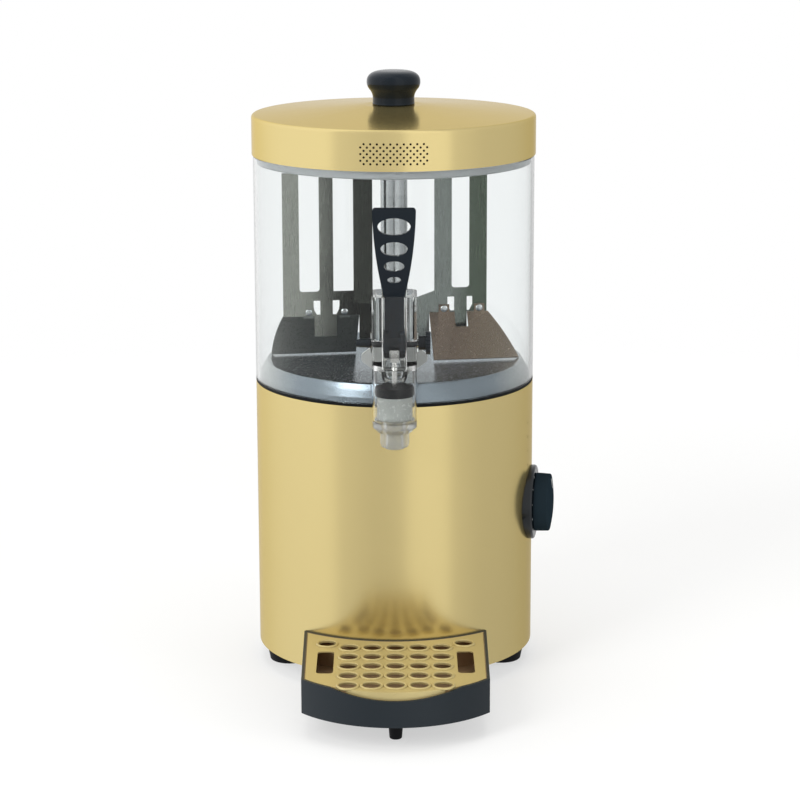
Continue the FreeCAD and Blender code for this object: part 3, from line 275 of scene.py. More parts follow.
# satin metallic paint on spun steel: an even gold with clear bands where it mirrors the room
GOLD_SHELL = Finish("satin_gold_painted_steel", "gold_painted_steel", "DCC98E", roughness=0.23,
                    metallic=0.92, grain_mm=1.4, grain_rough=0.03, tint=0.02, lay=Lay.ROUND,
                    edge_tint="F0E4C2")
# the lid's inner faces are near black: painted shade inside the lid, seen through its holes
GOLD_LID = Finish("satin_gold_painted_lid", "gold_painted_steel", "DCC98E", roughness=0.17, metallic=0.92,
                  grain_mm=1.4, grain_rough=0.03, tint=0.02, lay=Lay.ROUND, inside="1B1712",
                  edge_tint="EDDFB8")
# stamped sheet with the same paint, with grain too fine to show, drawn at 1.2 mm
GOLD_GRID = Finish("satin_gold_stamped_sheet", "gold_grid", "C9B881", roughness=0.34, metallic=0.5,
                   grain_mm=1.2, grain_depth=0.003, grain_rough=0.05, tint=0.04)
# cast and polished polycarbonate: clear, with faint long waves
CLEAR_WALL = Finish("cast_clear_wall", "clear_polycarbonate", "F8FAFA", roughness=0.012, grain_mm=45.0,
                    grain_depth=0.01, grain_rough=0.006, tint=0.005, transmission=1.0, ior=1.28)
# moulded copolyester of the tap: clear, a little softer at its edges
CLEAR_TAP = Finish("clear_moulded_copolyester", "clear_tap", "FAFBFA", roughness=0.02, grain_mm=18.0,
                   grain_depth=0.02, grain_rough=0.015, tint=0.01, transmission=1.0, ior=1.3)
# flange and nozzle, of milkier plastic than the body of the tap
MILKY_FLANGE = Finish("milky_moulded_flange", "clear_tap", "C9CDCB", roughness=0.18, grain_mm=8.0,
                      grain_depth=0.02, grain_rough=0.05, transmission=0.35, ior=1.4)
CLEAR_NOZZLE = Finish("clear_moulded_nozzle", "clear_nozzle", "D4D6D3", roughness=0.16, grain_mm=8.0,
                      grain_depth=0.03, grain_rough=0.05, tint=0.04, transmission=0.8, ior=1.45)
# stainless sheet, circular brushing, made lighter towards its rim by a painted reflection
FLOOR_STEEL = Finish("brushed_stainless_floor", "floor_steel", "88929A", roughness=0.24, metallic=1.0,
                     grain_mm=1.2, grain_depth=0.004, grain_rough=0.05, tint=0.06, lay=Lay.ROUND,
                     anisotropic=0.5, painted_reflection_colour="B9BDBC", painted_reflection_span=(82.0, 122.0))
# stainless blades with long brushing; their colours, dark and changing sideways from the axis, are painted
# reflection
COMB_LEFT = Finish("brushed_comb_left_painted_reflection", "agitator_steel", "2D302B", roughness=0.24, metallic=0.9,
                   grain_mm=0.9, grain_depth=0.004, grain_rough=0.05, tint=0.08, lay=Lay.UP,
                   anisotropic=0.4, painted_reflection_colour="8E9189", painted_reflection_span=(30.0, 92.0))
COMB_RIGHT = Finish("brushed_comb_right_painted_reflection", "agitator_steel", "737975", roughness=0.24, metallic=0.9,
                    grain_mm=0.9, grain_depth=0.004, grain_rough=0.05, tint=0.08, lay=Lay.UP,
                    anisotropic=0.4, painted_reflection_colour="4B5549", painted_reflection_span=(48.0, 78.0))
SCRAPER_LEFT = Finish("brushed_scraper_left_painted_reflection", "agitator_steel", "6A716D", roughness=0.3, metallic=0.6,
                      grain_mm=0.9, grain_depth=0.004, grain_rough=0.05, tint=0.1, lay=Lay.UP,
                      anisotropic=0.3, painted_reflection_colour="888D87", painted_reflection_span=(60.0, 112.0))
# the right scraper's brown tone is painted reflection as well
SCRAPER_RIGHT = Finish("brushed_scraper_right_painted_reflection", "agitator_steel", "675A4E", roughness=0.3, metallic=0.9,
                       grain_mm=0.9, grain_depth=0.004, grain_rough=0.05, tint=0.1, lay=Lay.UP,
                       anisotropic=0.3, painted_reflection_colour="746859", painted_reflection_span=(50.0, 100.0))
# drawn tube and turned, plated and cast metal
TUBE_STEEL = Finish("brushed_stainless_tube", "agitator_steel", "B4B7B8", roughness=0.16, metallic=1.0,
                    grain_mm=0.9, grain_depth=0.003, grain_rough=0.05, tint=0.04, lay=Lay.UP,
                    anisotropic=0.4)
BRIGHT_STEEL = Finish("turned_bright_steel", "bright_steel", "C4C4C2", roughness=0.22, metallic=1.0,
                      grain_mm=0.8, grain_depth=0.004, lay=Lay.ROUND)
ZINC_STEEL = Finish("zinc_plated_steel", "zinc_steel", "B4B8BB", roughness=0.42, metallic=1.0,
                    grain_mm=3.0, grain_depth=0.01, grain_rough=0.12, tint=0.08)
CAST_METAL = Finish("die_cast_aluminium", "cast_aluminium", "9EA0A3", roughness=0.55, metallic=1.0,
                    grain_mm=1.6, grain_depth=0.04, grain_rough=0.1, tint=0.06)
# moulded ABS, satin and slightly blue, its spark-eroded grain drawn at 0.9 mm
BLACK_ABS = Finish("black_moulded_abs", "black_plastic", "141A1F", roughness=0.3, grain_mm=0.9,
                   grain_depth=0.003, grain_rough=0.04, tint=0.06, specular=0.35)
# the same plastic, matt on the dial and polished on the lid's knob, the lever and the bezel
DIAL_ABS = Finish("black_matte_abs", "black_plastic", "222D34", roughness=0.5, grain_mm=0.9,
                  grain_depth=0.003, grain_rough=0.05, tint=0.08, specular=0.0)
BLACK_KNOB = Finish("black_polished_knob", "black_plastic", "0D161E", roughness=0.17, grain_mm=2.5,
                    grain_rough=0.03, tint=0.05, specular=0.24)
BLACK_GLOSS = Finish("black_polished_abs", "black_plastic", "0E1317", roughness=0.16, grain_mm=2.5,
                     grain_rough=0.03, tint=0.05, specular=0.45)
# the tray, brown on its inner faces
TRAY_ABS = Finish("slate_black_abs", "black_plastic", "1A2228", roughness=0.42, grain_mm=0.9,
                  grain_depth=0.003, grain_rough=0.05, tint=0.08, specular=0.3, inside="A98D6C",
                  inside_about=(-9.809, -128.0, 40.0))
# feet, seals, plunger, the small white pieces, and the dark strip of painted shade behind the lid's holes
BLACK_RUBBER = Finish("black_moulded_rubber", "black_rubber", "0B0D0F", roughness=0.6, grain_mm=1.1,
                      grain_depth=0.02, tint=0.08, specular=0.15)
PALE_SEAL = Finish("milky_silicone_saddle", "black_rubber", "C9CCCA", roughness=0.35, grain_mm=2.0,
                   grain_depth=0.005)
GREY_SEAL = Finish("grey_moulded_silicone", "grey_plastic", "C2C6C7", grain_mm=1.5, grain_depth=0.005)
GREY_CUP = Finish("grey_translucent_cup", "grey_plastic", "C4C9C5", roughness=0.25, grain_mm=3.0,
                  grain_depth=0.005, grain_rough=0.05, tint=0.05, transmission=0.15, ior=1.45)
# a dark strip behind the lid's holes: painted shade
SHADE_STRIP = Finish("painted_shade_strip", "agitator_steel", "1C1611", roughness=0.8, grain_mm=0.4,
                    grain_depth=0.02, grain_rough=0.05, tint=0.2, specular=0.1)
WHITE_NYLON = Finish("white_moulded_nylon", "white_plastic", "E2E0D8", roughness=0.45, grain_mm=1.5,
                     grain_depth=0.01)
MARK_WHITE = Finish("printed_mark", "white_plastic", "C9CBCA", roughness=0.5)


# mesh helpers


def body_of_node(node: str) -> str:
    """Find the body that a node belongs to.

    Args:
        node: The node's name.

    Returns:
        The body's name.
    """
    groups = frame["record"]["behaviour"]["bodies"]
    return next(body for body, members in groups.items() if node in members)


def new_piece(name: str, mesh: bpy.types.Mesh) -> bpy.types.Object:
    """Link a mesh into the scene as an object at the origin.

    Args:
        name: The object's name.
        mesh: Its mesh, in metres.

    Returns:
        The new object.
    """
    piece = bpy.data.objects.new(name, mesh)
    bpy.context.scene.collection.objects.link(piece)
    return piece


def dress(piece: bpy.types.Object, finish: Finish, body: str,
          nodes: tuple[str, ...] = ()) -> bpy.types.Object:
    """Give a new piece its finish and its body.

    Args:
        piece: The finished piece, at the origin.
        finish: Its surface.
        body: The body that it moves with.
        nodes: The nodes that it stands for.

    Returns:
        The same piece.
    """
    piece.data.materials.clear()
    piece.data.materials.append(finish.material())
    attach(piece, body)
    if nodes:
        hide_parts(*nodes)
    LOG.info("piece %s on %s", piece.name, body)
    return piece


def paint_node(node: str, finish: Finish) -> None:
    """Give a kept node a better finish.

    Args:
        node: The node's name.
        finish: Its surface.
    """
    piece = frame["nodes"][node]
    if piece.material_slots:
        for place in piece.material_slots:
            place.material = finish.material()
    else:
        piece.data.materials.append(finish.material())
    LOG.info("node %s painted", node)


def settle(piece: bpy.types.Object) -> bpy.types.Object:
    """Apply a piece's modifiers to its mesh.

    Args:
        piece: The piece, with modifiers.

    Returns:
        The same piece, with a plain mesh.
    """
    graph = bpy.context.evaluated_depsgraph_get()
    mesh = bpy.data.meshes.new_from_object(piece.evaluated_get(graph))
    old = piece.data
    piece.modifiers.clear()
    piece.data = mesh
    if old.users == 0:
        bpy.data.meshes.remove(old)
    return piece


def smooth_edges(shape: bmesh.types.BMesh, angle: float) -> None:
    """Shade faces smooth and keep some edges sharp.

    Args:
        shape: The mesh under work.
        angle: Angle in degrees from which an edge stays sharp.
    """
    limit = math.radians(angle)
    for face in shape.faces:
        face.smooth = True
    for edge in shape.edges:
        edge.smooth = edge.calc_face_angle(0.0) < limit


def smooth_copy(node: str, finish: Finish, edge_mm: float = 0.0, steps: int = 2,
                angle: float = SHARP_ANGLE) -> bpy.types.Object:
    """Stand a merged, smooth copy with eased edges in for a node.

    Args:
        node: The node to copy.
        finish: The copy's surface.
        edge_mm: How far each sharp edge is eased.
        steps: Faces across an eased edge.
        angle: Angle in degrees past which an edge counts as sharp.

    Returns:
        The copy.
    """
    mesh = frame["nodes"][node].data.copy()
    mesh.materials.clear()
    for layer in ("custom_normal", "sharp_edge", "sharp_face"):
        if layer in mesh.attributes:
            mesh.attributes.remove(mesh.attributes[layer])
    shape = bmesh.new()
    shape.from_mesh(mesh)
    bmesh.ops.remove_doubles(shape, verts=shape.verts[:], dist=WELD_GAP)
    bmesh.ops.dissolve_limit(shape, angle_limit=math.radians(FLAT_ANGLE), verts=shape.verts[:],
                             edges=shape.edges[:])
    smooth_edges(shape, 180.0 if edge_mm else angle)
    shape.to_mesh(mesh)
    shape.free()
    piece = new_piece(node + "_dressed", mesh)
    if edge_mm:
        eased = piece.modifiers.new("eased", "BEVEL")
        eased.width = edge_mm * MM
        eased.segments = steps
        eased.limit_method = "ANGLE"
        eased.angle_limit = math.radians(angle)
        eased.harden_normals = True
        eased.use_clamp_overlap = True
        settle(piece)
    return dress(piece, finish, body_of_node(node), (node,))


def true_round(piece: bpy.types.Object) -> None:
    """Set exact normals on the faces that were turned about the tank's axis, so that gloss runs evenly.

    Args:
        piece: A piece with such faces.
    """
    core, least_facing, upright, level_cap = 4 * MM, 0.8, 0.06, 0.97
    mesh = piece.data
    normals = [corner.vector.copy() for corner in mesh.corner_normals]
    for face in mesh.polygons:
        tilt = face.normal.z
        level = math.sqrt(max(0.0, 1.0 - tilt * tilt))
        for corner in face.loop_indices:
            out = mesh.vertices[mesh.loops[corner].vertex_index].co - AXIS
            out.z = 0.0
            if out.length < core:
                continue
            out.normalize()
            across = face.normal.dot(out)
            if abs(across) < least_facing * level:
                continue
            lean = normals[corner].z
            if abs(tilt) < upright:
                lean = 0.0
            elif abs(tilt) > level_cap:
                lean = tilt
            normals[corner] = out * math.copysign(math.sqrt(max(0.0, 1.0 - lean * lean)), across)
            normals[corner].z = lean
    mesh.normals_split_custom_set(normals)


def lathe(name: str, outline: list[Point], place: Matrix, count: int = 128) -> bpy.types.Object:
    """Turn an outline of (radius, height) in millimetres about its own upright axis.

    Args:
        name: The piece's name.
        outline: Points from the axis or a bore and round to the start; the last joins the first.
        place: Where the axis stands, in metres.
        count: Faces around.

    Returns:
        The turned piece.
    """
    shape = bmesh.new()
    rings = []
    for radius, height in outline:
        if radius < 1e-6:
            rings.append([shape.verts.new((0, 0, height * MM))])
            continue
        rings.append([shape.verts.new((radius * MM * math.cos(2 * math.pi * i / count),
                                       radius * MM * math.sin(2 * math.pi * i / count), height * MM))
                      for i in range(count)])
    pairs = list(zip(rings, rings[1:]))
    if len(rings[0]) > 1 or len(rings[-1]) > 1:
        pairs.append((rings[-1], rings[0]))
    for first, second in pairs:
        for i in range(count):
            j = (i + 1) % count
            corners = [first[i % len(first)], first[j % len(first)], second[j % len(second)],
                       second[i % len(second)]]
            unique = list(dict.fromkeys(corners))
            if len(unique) > 2:
                shape.faces.new(unique)
    bmesh.ops.recalc_face_normals(shape, faces=shape.faces[:])
    smooth_edges(shape, TURNED_SHARP_ANGLE)
    mesh = bpy.data.meshes.new(name)
    shape.to_mesh(mesh)
    shape.free()
    mesh.transform(place)
    return new_piece(name, mesh)


def rounded(outline: list[tuple[float, float, float]], steps: int = 6) -> list[Point]:
    """Round the corners of an outline.

    Args:
        outline: Corners as (radius, height, rounding).
        steps: Points on each rounded corner.

    Returns:
        The outline with its corners as short arcs.
    """
    points: list[Point] = []
    total = len(outline)
    for i, (r, z, size) in enumerate(outline):
        if size <= 0:
            points.append((r, z))
            continue
        here = Vector((r, z))
        before = (Vector(outline[i - 1][:2]) - here)
        after = (Vector(outline[(i + 1) % total][:2]) - here)
        reach = min(size, before.length * 0.49, after.length * 0.49)
        start, end = here + before.normalized() * reach, here + after.normalized() * reach
        for k in range(steps + 1):
            t = k / steps
            spot = start * (1 - t) ** 2 + here * 2 * t * (1 - t) + end * t ** 2
            points.append((spot.x, spot.y))
    return points


# geometry node trees


def tree_inputs(tree: bpy.types.NodeTree, wanted: dict[str, str]) -> bpy.types.Node:
    """Declare a tree's named inputs and its one output.

    Args:
        tree: The new tree.
        wanted: Socket kind for each input's name.

    Returns:
        The group input node.
    """
    for name, kind in wanted.items():
        tree.interface.new_socket(name, in_out="INPUT", socket_type=kind)
    tree.interface.new_socket("Geometry", in_out="OUTPUT", socket_type="NodeSocketGeometry")
    return tree.nodes.new("NodeGroupInput")


def tree_end(tree: bpy.types.NodeTree, geometry: bpy.types.NodeSocket, finish: bpy.types.NodeSocket) -> None:
    """End a tree in Realize Instances and Set Material.

    Args:
        tree: The tree.
        geometry: The geometry that it has made.
        finish: The material that it is given.
    """
    real = add_node(tree, "GeometryNodeRealizeInstances", {"Geometry": geometry})
    painted = add_node(tree, "GeometryNodeSetMaterial", {"Geometry": real.outputs[0], "Material": finish})
    add_node(tree, "NodeGroupOutput", {0: painted.outputs[0]})


def grow(tree: bpy.types.NodeTree, name: str, seed: list[Vector], values: dict[str, Any]) -> bpy.types.Object:
    """Run a tree on a few points and keep the result as a plain mesh.

    Args:
        tree: The tree to run.
        name: The new piece's name.
        seed: Points that the tree starts from, in metres.
        values: Value of each named input.

    Returns:
        The new piece, without a modifier.
    """
    start = bpy.data.meshes.new(name)
    start.from_pydata([tuple(p) for p in seed], [], [])
    piece = new_piece(name, start)
    modifier = piece.modifiers.new("grow", "NODES")
    modifier.node_group = tree
    for item in tree.interface.items_tree:
        if item.in_out == "INPUT" and item.name in values:
            modifier[item.identifier] = values[item.name]
    return settle(piece)


def mark_ring_tree() -> bpy.types.NodeTree:
    """Make the tree that stands short bars on an arc about the origin, pointing outwards.

    Returns:
        The tree.
    """
    tree = bpy.data.node_groups.new("mark_ring", "GeometryNodeTree")
    wanted = {"Geometry": "NodeSocketGeometry", "Count": "NodeSocketInt"}
    for name in ("Radius", "Length", "Width", "Height", "Start", "Sweep"):
        wanted[name] = "NodeSocketFloat"
    wanted["Finish"] = "NodeSocketMaterial"
    given = tree_inputs(tree, wanted).outputs
    arc = add_node(tree, "GeometryNodeCurveArc", {"Resolution": given["Count"], "Radius": given["Radius"],
                                                  "Start Angle": given["Start"],
                                                  "Sweep Angle": given["Sweep"]})
    spots = add_node(tree, "GeometryNodeCurveToPoints", {"Curve": arc.outputs["Curve"]}, mode="EVALUATED")
    size = add_node(tree, "ShaderNodeCombineXYZ", {"X": given["Width"], "Y": given["Length"],
                                                   "Z": given["Height"]})
    bar = add_node(tree, "GeometryNodeMeshCube", {"Size": size.outputs[0]})
    place = add_node(tree, "GeometryNodeInputPosition")
    turn = add_node(tree, "FunctionNodeAlignRotationToVector", {"Vector": place.outputs[0]}, axis="Y",
                    pivot_axis="Z")
    stood = add_node(tree, "GeometryNodeInstanceOnPoints", {"Points": spots.outputs["Points"],
                                                            "Instance": bar.outputs["Mesh"],
                                                            "Rotation": turn.outputs[0]})
    tree_end(tree, stood.outputs[0], given["Finish"])
    return tree


def bead_ring_tree() -> bpy.types.NodeTree:
    """Make the tree that lays a rounded bead ring about each point, as pressed round a hole.

    Returns:
        The tree.
    """
    tree = bpy.data.node_groups.new("bead_rings", "GeometryNodeTree")
    given = tree_inputs(tree, {"Geometry": "NodeSocketGeometry", "Radius": "NodeSocketFloat",
                               "Bead": "NodeSocketFloat", "Finish": "NodeSocketMaterial"}).outputs
    spots = add_node(tree, "GeometryNodeMeshToPoints", {"Mesh": given["Geometry"]})
    path = add_node(tree, "GeometryNodeCurvePrimitiveCircle", {"Radius": given["Radius"], "Resolution": 40})
    section = add_node(tree, "GeometryNodeCurvePrimitiveCircle", {"Radius": given["Bead"], "Resolution": 12})
    bead = add_node(tree, "GeometryNodeCurveToMesh", {"Curve": path.outputs[0],
                                                      "Profile Curve": section.outputs[0]})
    soft = add_node(tree, "GeometryNodeSetShadeSmooth", {"Geometry": bead.outputs[0]})
    stood = add_node(tree, "GeometryNodeInstanceOnPoints", {"Points": spots.outputs[0],
                                                            "Instance": soft.outputs[0]})
    tree_end(tree, stood.outputs[0], given["Finish"])
    return tree


def dome_tree() -> bpy.types.NodeTree:
    """Make the tree that sets a flattened dome on each point, such as a rivet's head.

    Returns:
        The tree.
    """
    tree = bpy.data.node_groups.new("dome_heads", "GeometryNodeTree")
    given = tree_inputs(tree, {"Geometry": "NodeSocketGeometry", "Radius": "NodeSocketFloat",
                               "Flatness": "NodeSocketFloat", "Turn": "NodeSocketFloat",
                               "Finish": "NodeSocketMaterial"}).outputs
    spots = add_node(tree, "GeometryNodeMeshToPoints", {"Mesh": given["Geometry"]})
    ball = add_node(tree, "GeometryNodeMeshUVSphere", {"Segments": 28, "Rings": 14,
                                                       "Radius": given["Radius"]})
    soft = add_node(tree, "GeometryNodeSetShadeSmooth", {"Geometry": ball.outputs["Mesh"]})
    angle = add_node(tree, "ShaderNodeCombineXYZ", {"Z": given["Turn"]})
    squeeze = add_node(tree, "ShaderNodeCombineXYZ", {"X": 1.0, "Y": given["Flatness"], "Z": 1.0})
    turn = add_node(tree, "FunctionNodeEulerToRotation", {0: angle.outputs[0]})
    stood = add_node(tree, "GeometryNodeInstanceOnPoints", {"Points": spots.outputs[0],
                                                            "Instance": soft.outputs[0],
                                                            "Rotation": turn.outputs[0],
                                                            "Scale": squeeze.outputs[0]})
    tree_end(tree, stood.outputs[0], given["Finish"])
    return tree


# sub-assemblies


@dataclass
class HeatedBase:
    """The gold case with its feet, its water bath and the drive inside."""

    edge: float = 0.35
    foot_edge: float = 1.0
    foot_steps: int = 3

    def build(self) -> None:
        """Build and dress the base."""
        for node in ("body_shell", "case_top_ring", "case_bottom_ring"):
            true_round(smooth_copy(node, GOLD_SHELL))
        smooth_copy("base_plate", ZINC_STEEL)
        smooth_copy("base_screws", BRIGHT_STEEL)
        smooth_copy("foot_screws", BRIGHT_STEEL)
        smooth_copy("tank_gasket", BLACK_RUBBER)
        for corner in ("front_right", "front_left", "rear_right", "rear_left"):
            smooth_copy("foot_" + corner, BLACK_RUBBER, self.foot_edge, self.foot_steps)
        smooth_copy("cord_gland", BLACK_ABS, self.edge)
        smooth_copy("water_bath_pan", FLOOR_STEEL)
        for node in ("heating_element", "element_nuts"):
            smooth_copy(node, BRIGHT_STEEL)
        for node in ("drive_shaft", "gearbox_shaft", "shaft_coupling"):
            smooth_copy(node, BRIGHT_STEEL)
        for node in ("shaft_bush", "terminal_block"):
            paint_node(node, WHITE_NYLON)
        for node in ("motor", "motor_bracket"):
            paint_node(node, ZINC_STEEL)
        paint_node("gearbox", CAST_METAL)
        paint_node("gland_nut", BLACK_ABS)
        paint_node("thermostat", BLACK_ABS)


@dataclass
class SideDial:
    """The temperature dial on the right side."""

    azimuth: float = 81.0
    height: float = 154.0
    bezel_out: float = 134.5
    mark_radius: float = 30.6
    mark_count: int = 11
    mark_length: float = 2.6
    mark_width: float = 0.7
    mark_height: float = 0.24
    mark_start: float = -45.0
    mark_sweep: float = 270.0
    pointer_size: tuple[float, float, float] = (1.4, 9.0, 0.5)
    pointer_lean: float = -8.0
    pointer_radius: float = 18.4
    pointer_out: float = 149.75
    edge: float = 0.9
    knob_edge: float = 0.5
    edge_steps: int = 3

    def place(self, distance: float) -> Matrix:
        """Set up a frame on the dial's axis, its Z pointing out.

        Args:
            distance: Its distance from the tank's axis in millimetres.

        Returns:
            The frame, in metres.
        """
        angle = math.radians(self.azimuth)
        outward = Vector((math.sin(angle), -math.cos(angle), 0.0))
        spot = AXIS + outward * distance * MM + Vector((0, 0, self.height * MM))
        side = Vector((0, 0, 1)).cross(outward)
        turn = Matrix((side, Vector((0, 0, 1)), outward)).transposed().to_4x4()
        return Matrix.Translation(spot) @ turn

    def build(self) -> None:
        """Build and dress the dial."""
        smooth_copy("dial_bezel", BLACK_GLOSS, self.edge, self.edge_steps)
        smooth_copy("dial_knob", DIAL_ABS, self.knob_edge, self.edge_steps)
        smooth_copy("thermostat_spindle", BRIGHT_STEEL)
        marks = grow(mark_ring_tree(), "dial_marks", [Vector()], {
            "Count": self.mark_count, "Radius": self.mark_radius * MM, "Length": self.mark_length * MM,
            "Width": self.mark_width * MM, "Height": self.mark_height * MM,
            "Start": math.radians(self.mark_start), "Sweep": math.radians(self.mark_sweep),
            "Finish": MARK_WHITE.material()})
        marks.data.transform(self.place(self.bezel_out))
        dress(marks, MARK_WHITE, "base")
        pointer = bpy.data.meshes.new("dial_pointer")
        bar = bmesh.new()
        bmesh.ops.create_cube(bar, size=1.0)
        lean = Matrix.Rotation(math.radians(self.pointer_lean), 3, "X")
        bmesh.ops.scale(bar, verts=bar.verts[:], vec=Vector(self.pointer_size) * MM)
        bmesh.ops.rotate(bar, verts=bar.verts[:], matrix=lean)
        bmesh.ops.translate(bar, verts=bar.verts[:], vec=Vector((0.0, self.pointer_radius, 0.0)) * MM)
        bar.to_mesh(pointer)
        bar.free()
        pointer.transform(self.place(self.pointer_out))
        dress(new_piece("dial_pointer", pointer), MARK_WHITE, "dial")


@dataclass
class DrinkTank:
    """The clear tank with its steel floor and the tap's fixing."""

    flange_edge: float = 0.5
    nut_edge: float = 0.4

    def build(self) -> None:
        """Build and dress the tank."""
        true_round(smooth_copy("tank_cylinder", CLEAR_WALL))
        true_round(smooth_copy("tank_floor", FLOOR_STEEL))
        smooth_copy("inlet_saddle", PALE_SEAL)
        smooth_copy("tap_flange", MILKY_FLANGE, self.flange_edge)
        smooth_copy("inlet_nut", WHITE_NYLON, self.nut_edge)


@dataclass
class LeverTap:
    """The clear tap with its black lever, plunger and pin."""

    body_edge: float = 0.5
    nozzle_edge: float = 0.3
    plunger_edge: float = 0.4
    lever_edge: float = 0.7
    pin_edge: float = 0.5
    nut_edge: float = 0.3
    edge_steps: int = 3

    def build(self) -> None:
        """Build and dress the tap."""
        smooth_copy("tap_body", CLEAR_TAP, self.body_edge, self.edge_steps)
        smooth_copy("tap_nozzle", CLEAR_NOZZLE, self.nozzle_edge)
        smooth_copy("rod_guide", CLEAR_TAP)
        smooth_copy("plunger_cup", GREY_CUP, self.plunger_edge)
        smooth_copy("plunger_seal", BLACK_RUBBER, self.plunger_edge)
        smooth_copy("plunger_rod", BRIGHT_STEEL)
        smooth_copy("tap_lever", BLACK_KNOB, self.lever_edge, self.edge_steps)
        smooth_copy("lever_link_pin", BRIGHT_STEEL)
        smooth_copy("lever_pivot_pin", BLACK_ABS, self.pin_edge, self.edge_steps)
        smooth_copy("pin_thumb_nut", BLACK_ABS, self.nut_edge)


@dataclass
class Agitator:
    """The turning tube with its combs and scrapers."""

    turn: float = 8.5
    rivet_at: tuple[float, ...] = (47.0, 80.5)
    rivet_height: float = 335.0
    rivet_radius: float = 3.4
    rivet_rise: float = 1.2
    front: float = 0.75
    back: float = -2.3
    comb_edge: float = 0.35
    scraper_edge: float = 0.3

    def build(self) -> None:
        """Build and dress the agitator."""
        true_round(smooth_copy("agitator_tube", TUBE_STEEL))
        paint_node("drive_plug", WHITE_NYLON)
        smooth_copy("comb_left", COMB_LEFT, self.comb_edge)
        smooth_copy("comb_right", COMB_RIGHT, self.comb_edge)
        smooth_copy("scraper_left", SCRAPER_LEFT, self.scraper_edge)
        smooth_copy("scraper_right", SCRAPER_RIGHT, self.scraper_edge)
        self.build_rivets()

    def build_rivets(self) -> None:
        """Set dome heads on both faces of each riveted joint."""
        spots = []
        for half in (0.0, 180.0):
            turn = Matrix.Rotation(math.radians(self.turn + half), 4, "Z")
            for x in self.rivet_at:
                for y in (self.front, self.back):
                    spots.append(AXIS + turn @ Vector((x, y, self.rivet_height)) * MM)
        heads = grow(dome_tree(), "rivet_heads", spots, {
            "Radius": self.rivet_radius * MM, "Flatness": self.rivet_rise / self.rivet_radius,
            "Turn": math.radians(self.turn), "Finish": TUBE_STEEL.material()})
        dress(heads, TUBE_STEEL, "agitator", ("agitator_rivets",))


@dataclass
class VentedLid:
    """The gold lid with its perforated patch, liner and knob."""

    knob_base: float = 527.5
    shade_strip_radius: Point = (129.1, 129.5)
    shade_strip_heights: Point = (487.0, 510.5)
    shade_strip_half_turn: float = 15.5
    shade_strip_steps: int = 24
    knob_outline: list[tuple[float, float, float]] = field(default_factory=lambda: [
        (0, 0, 0), (18.9, 0, 0.3), (19.7, 0.9, 0.5), (19.3, 1.9, 0.4), (19.2, 8.6, 2.6), (20.9, 12.4, 3.0),
        (23.7, 15.8, 2.2), (24.75, 19.2, 2.4), (24.7, 23.2, 3.0), (23.2, 26.6, 2.6), (19.6, 29.4, 2.6),
        (14.6, 30.8, 3.0), (7.0, 31.25, 2.0), (0, 31.3, 0)])

    def build(self) -> None:
        """Build and dress the lid."""
        true_round(smooth_copy("lid_shell", GOLD_LID))
        true_round(smooth_copy("lid_liner", GREY_SEAL))
        smooth_copy("lid_knob_screw", BRIGHT_STEEL)
        place = Matrix.Translation(AXIS + Vector((0, 0, self.knob_base * MM)))
        knob = lathe("lid_knob_turned", rounded(self.knob_outline), place)
        dress(knob, BLACK_KNOB, "lid", ("lid_knob",))
        # a dark strip behind the holes: painted shade
        self.build_shade_strip()

    def build_shade_strip(self) -> None:
        """Line the perforated patch inside the lid with a dark strip: painted shade behind the holes."""
        inner, outer = self.shade_strip_radius
        low, high = self.shade_strip_heights
        shape = bmesh.new()
        rings = []
        for i in range(self.shade_strip_steps + 1):
            angle = math.radians(self.shade_strip_half_turn * (2 * i / self.shade_strip_steps - 1))
            out = Vector((math.sin(angle), -math.cos(angle), 0.0))
            rings.append([shape.verts.new(AXIS + (out * radius + Vector((0, 0, height))) * MM)
                          for radius, height in ((inner, low), (outer, low), (outer, high), (inner, high))])
        for first, second in zip(rings, rings[1:]):
            for k in range(4):
                shape.faces.new((first[k], first[(k + 1) % 4], second[(k + 1) % 4], second[k]))
        shape.faces.new(rings[0])
        shape.faces.new(rings[-1])
        bmesh.ops.recalc_face_normals(shape, faces=shape.faces[:])
        smooth_edges(shape, TURNED_SHARP_ANGLE)
        mesh = bpy.data.meshes.new("vent_shade_strip")
        shape.to_mesh(mesh)
        shape.free()
        dress(new_piece("vent_shade_strip", mesh), SHADE_STRIP, "lid")


@dataclass
class DripTray:
    """The black tray, its foot and its gold grid."""

    columns: int = 5
    rows: int = 5
    pitch_x: float = 20.8
    pitch_y: float = 25.6
    front_row: float = 254.4
    corner: Point = (62.0, 140.0)
    ring_radius: float = 9.1
    ring_height: float = 53.2
    bead: float = 1.25
    tray_edge: float = 0.8
    tray_steps: int = 3
    foot_edge: float = 0.5
    grid_edge: float = 0.25

    def spots(self) -> list[Vector]:
        """Work out the centres of the round holes.

        Returns:
            The centres, in metres.
        """
        found = [(self.corner[0], -self.corner[1]), (-self.corner[0], -self.corner[1])]
        for row in range(self.rows):
            for column in range(self.columns):
                found.append(((column - (self.columns - 1) / 2) * self.pitch_x,
                              -self.front_row + row * self.pitch_y))
        return [AXIS + Vector((x, y, self.ring_height)) * MM for x, y in found]

    def build(self) -> None:
        """Build and dress the tray."""
        smooth_copy("drip_tray", TRAY_ABS, self.tray_edge, self.tray_steps)
        smooth_copy("tray_foot", BLACK_RUBBER, self.foot_edge)
        smooth_copy("drip_grid", GOLD_GRID, self.grid_edge)
        beads = grow(bead_ring_tree(), "grid_beads", self.spots(), {
            "Radius": self.ring_radius * MM, "Bead": self.bead * MM, "Finish": GOLD_GRID.material()})
        dress(beads, GOLD_GRID, "grid")


@dataclass(frozen=True)
class Lamp:
    """A soft lamp that faces the machine.

    Attributes:
        name: The lamp's name.
        spot: Its place about the tank's axis, in metres.
        size: Width and height of its face, in metres.
        power: Its power in watts.
    """

    name: str
    spot: tuple[float, float, float]
    size: Point
    power: float


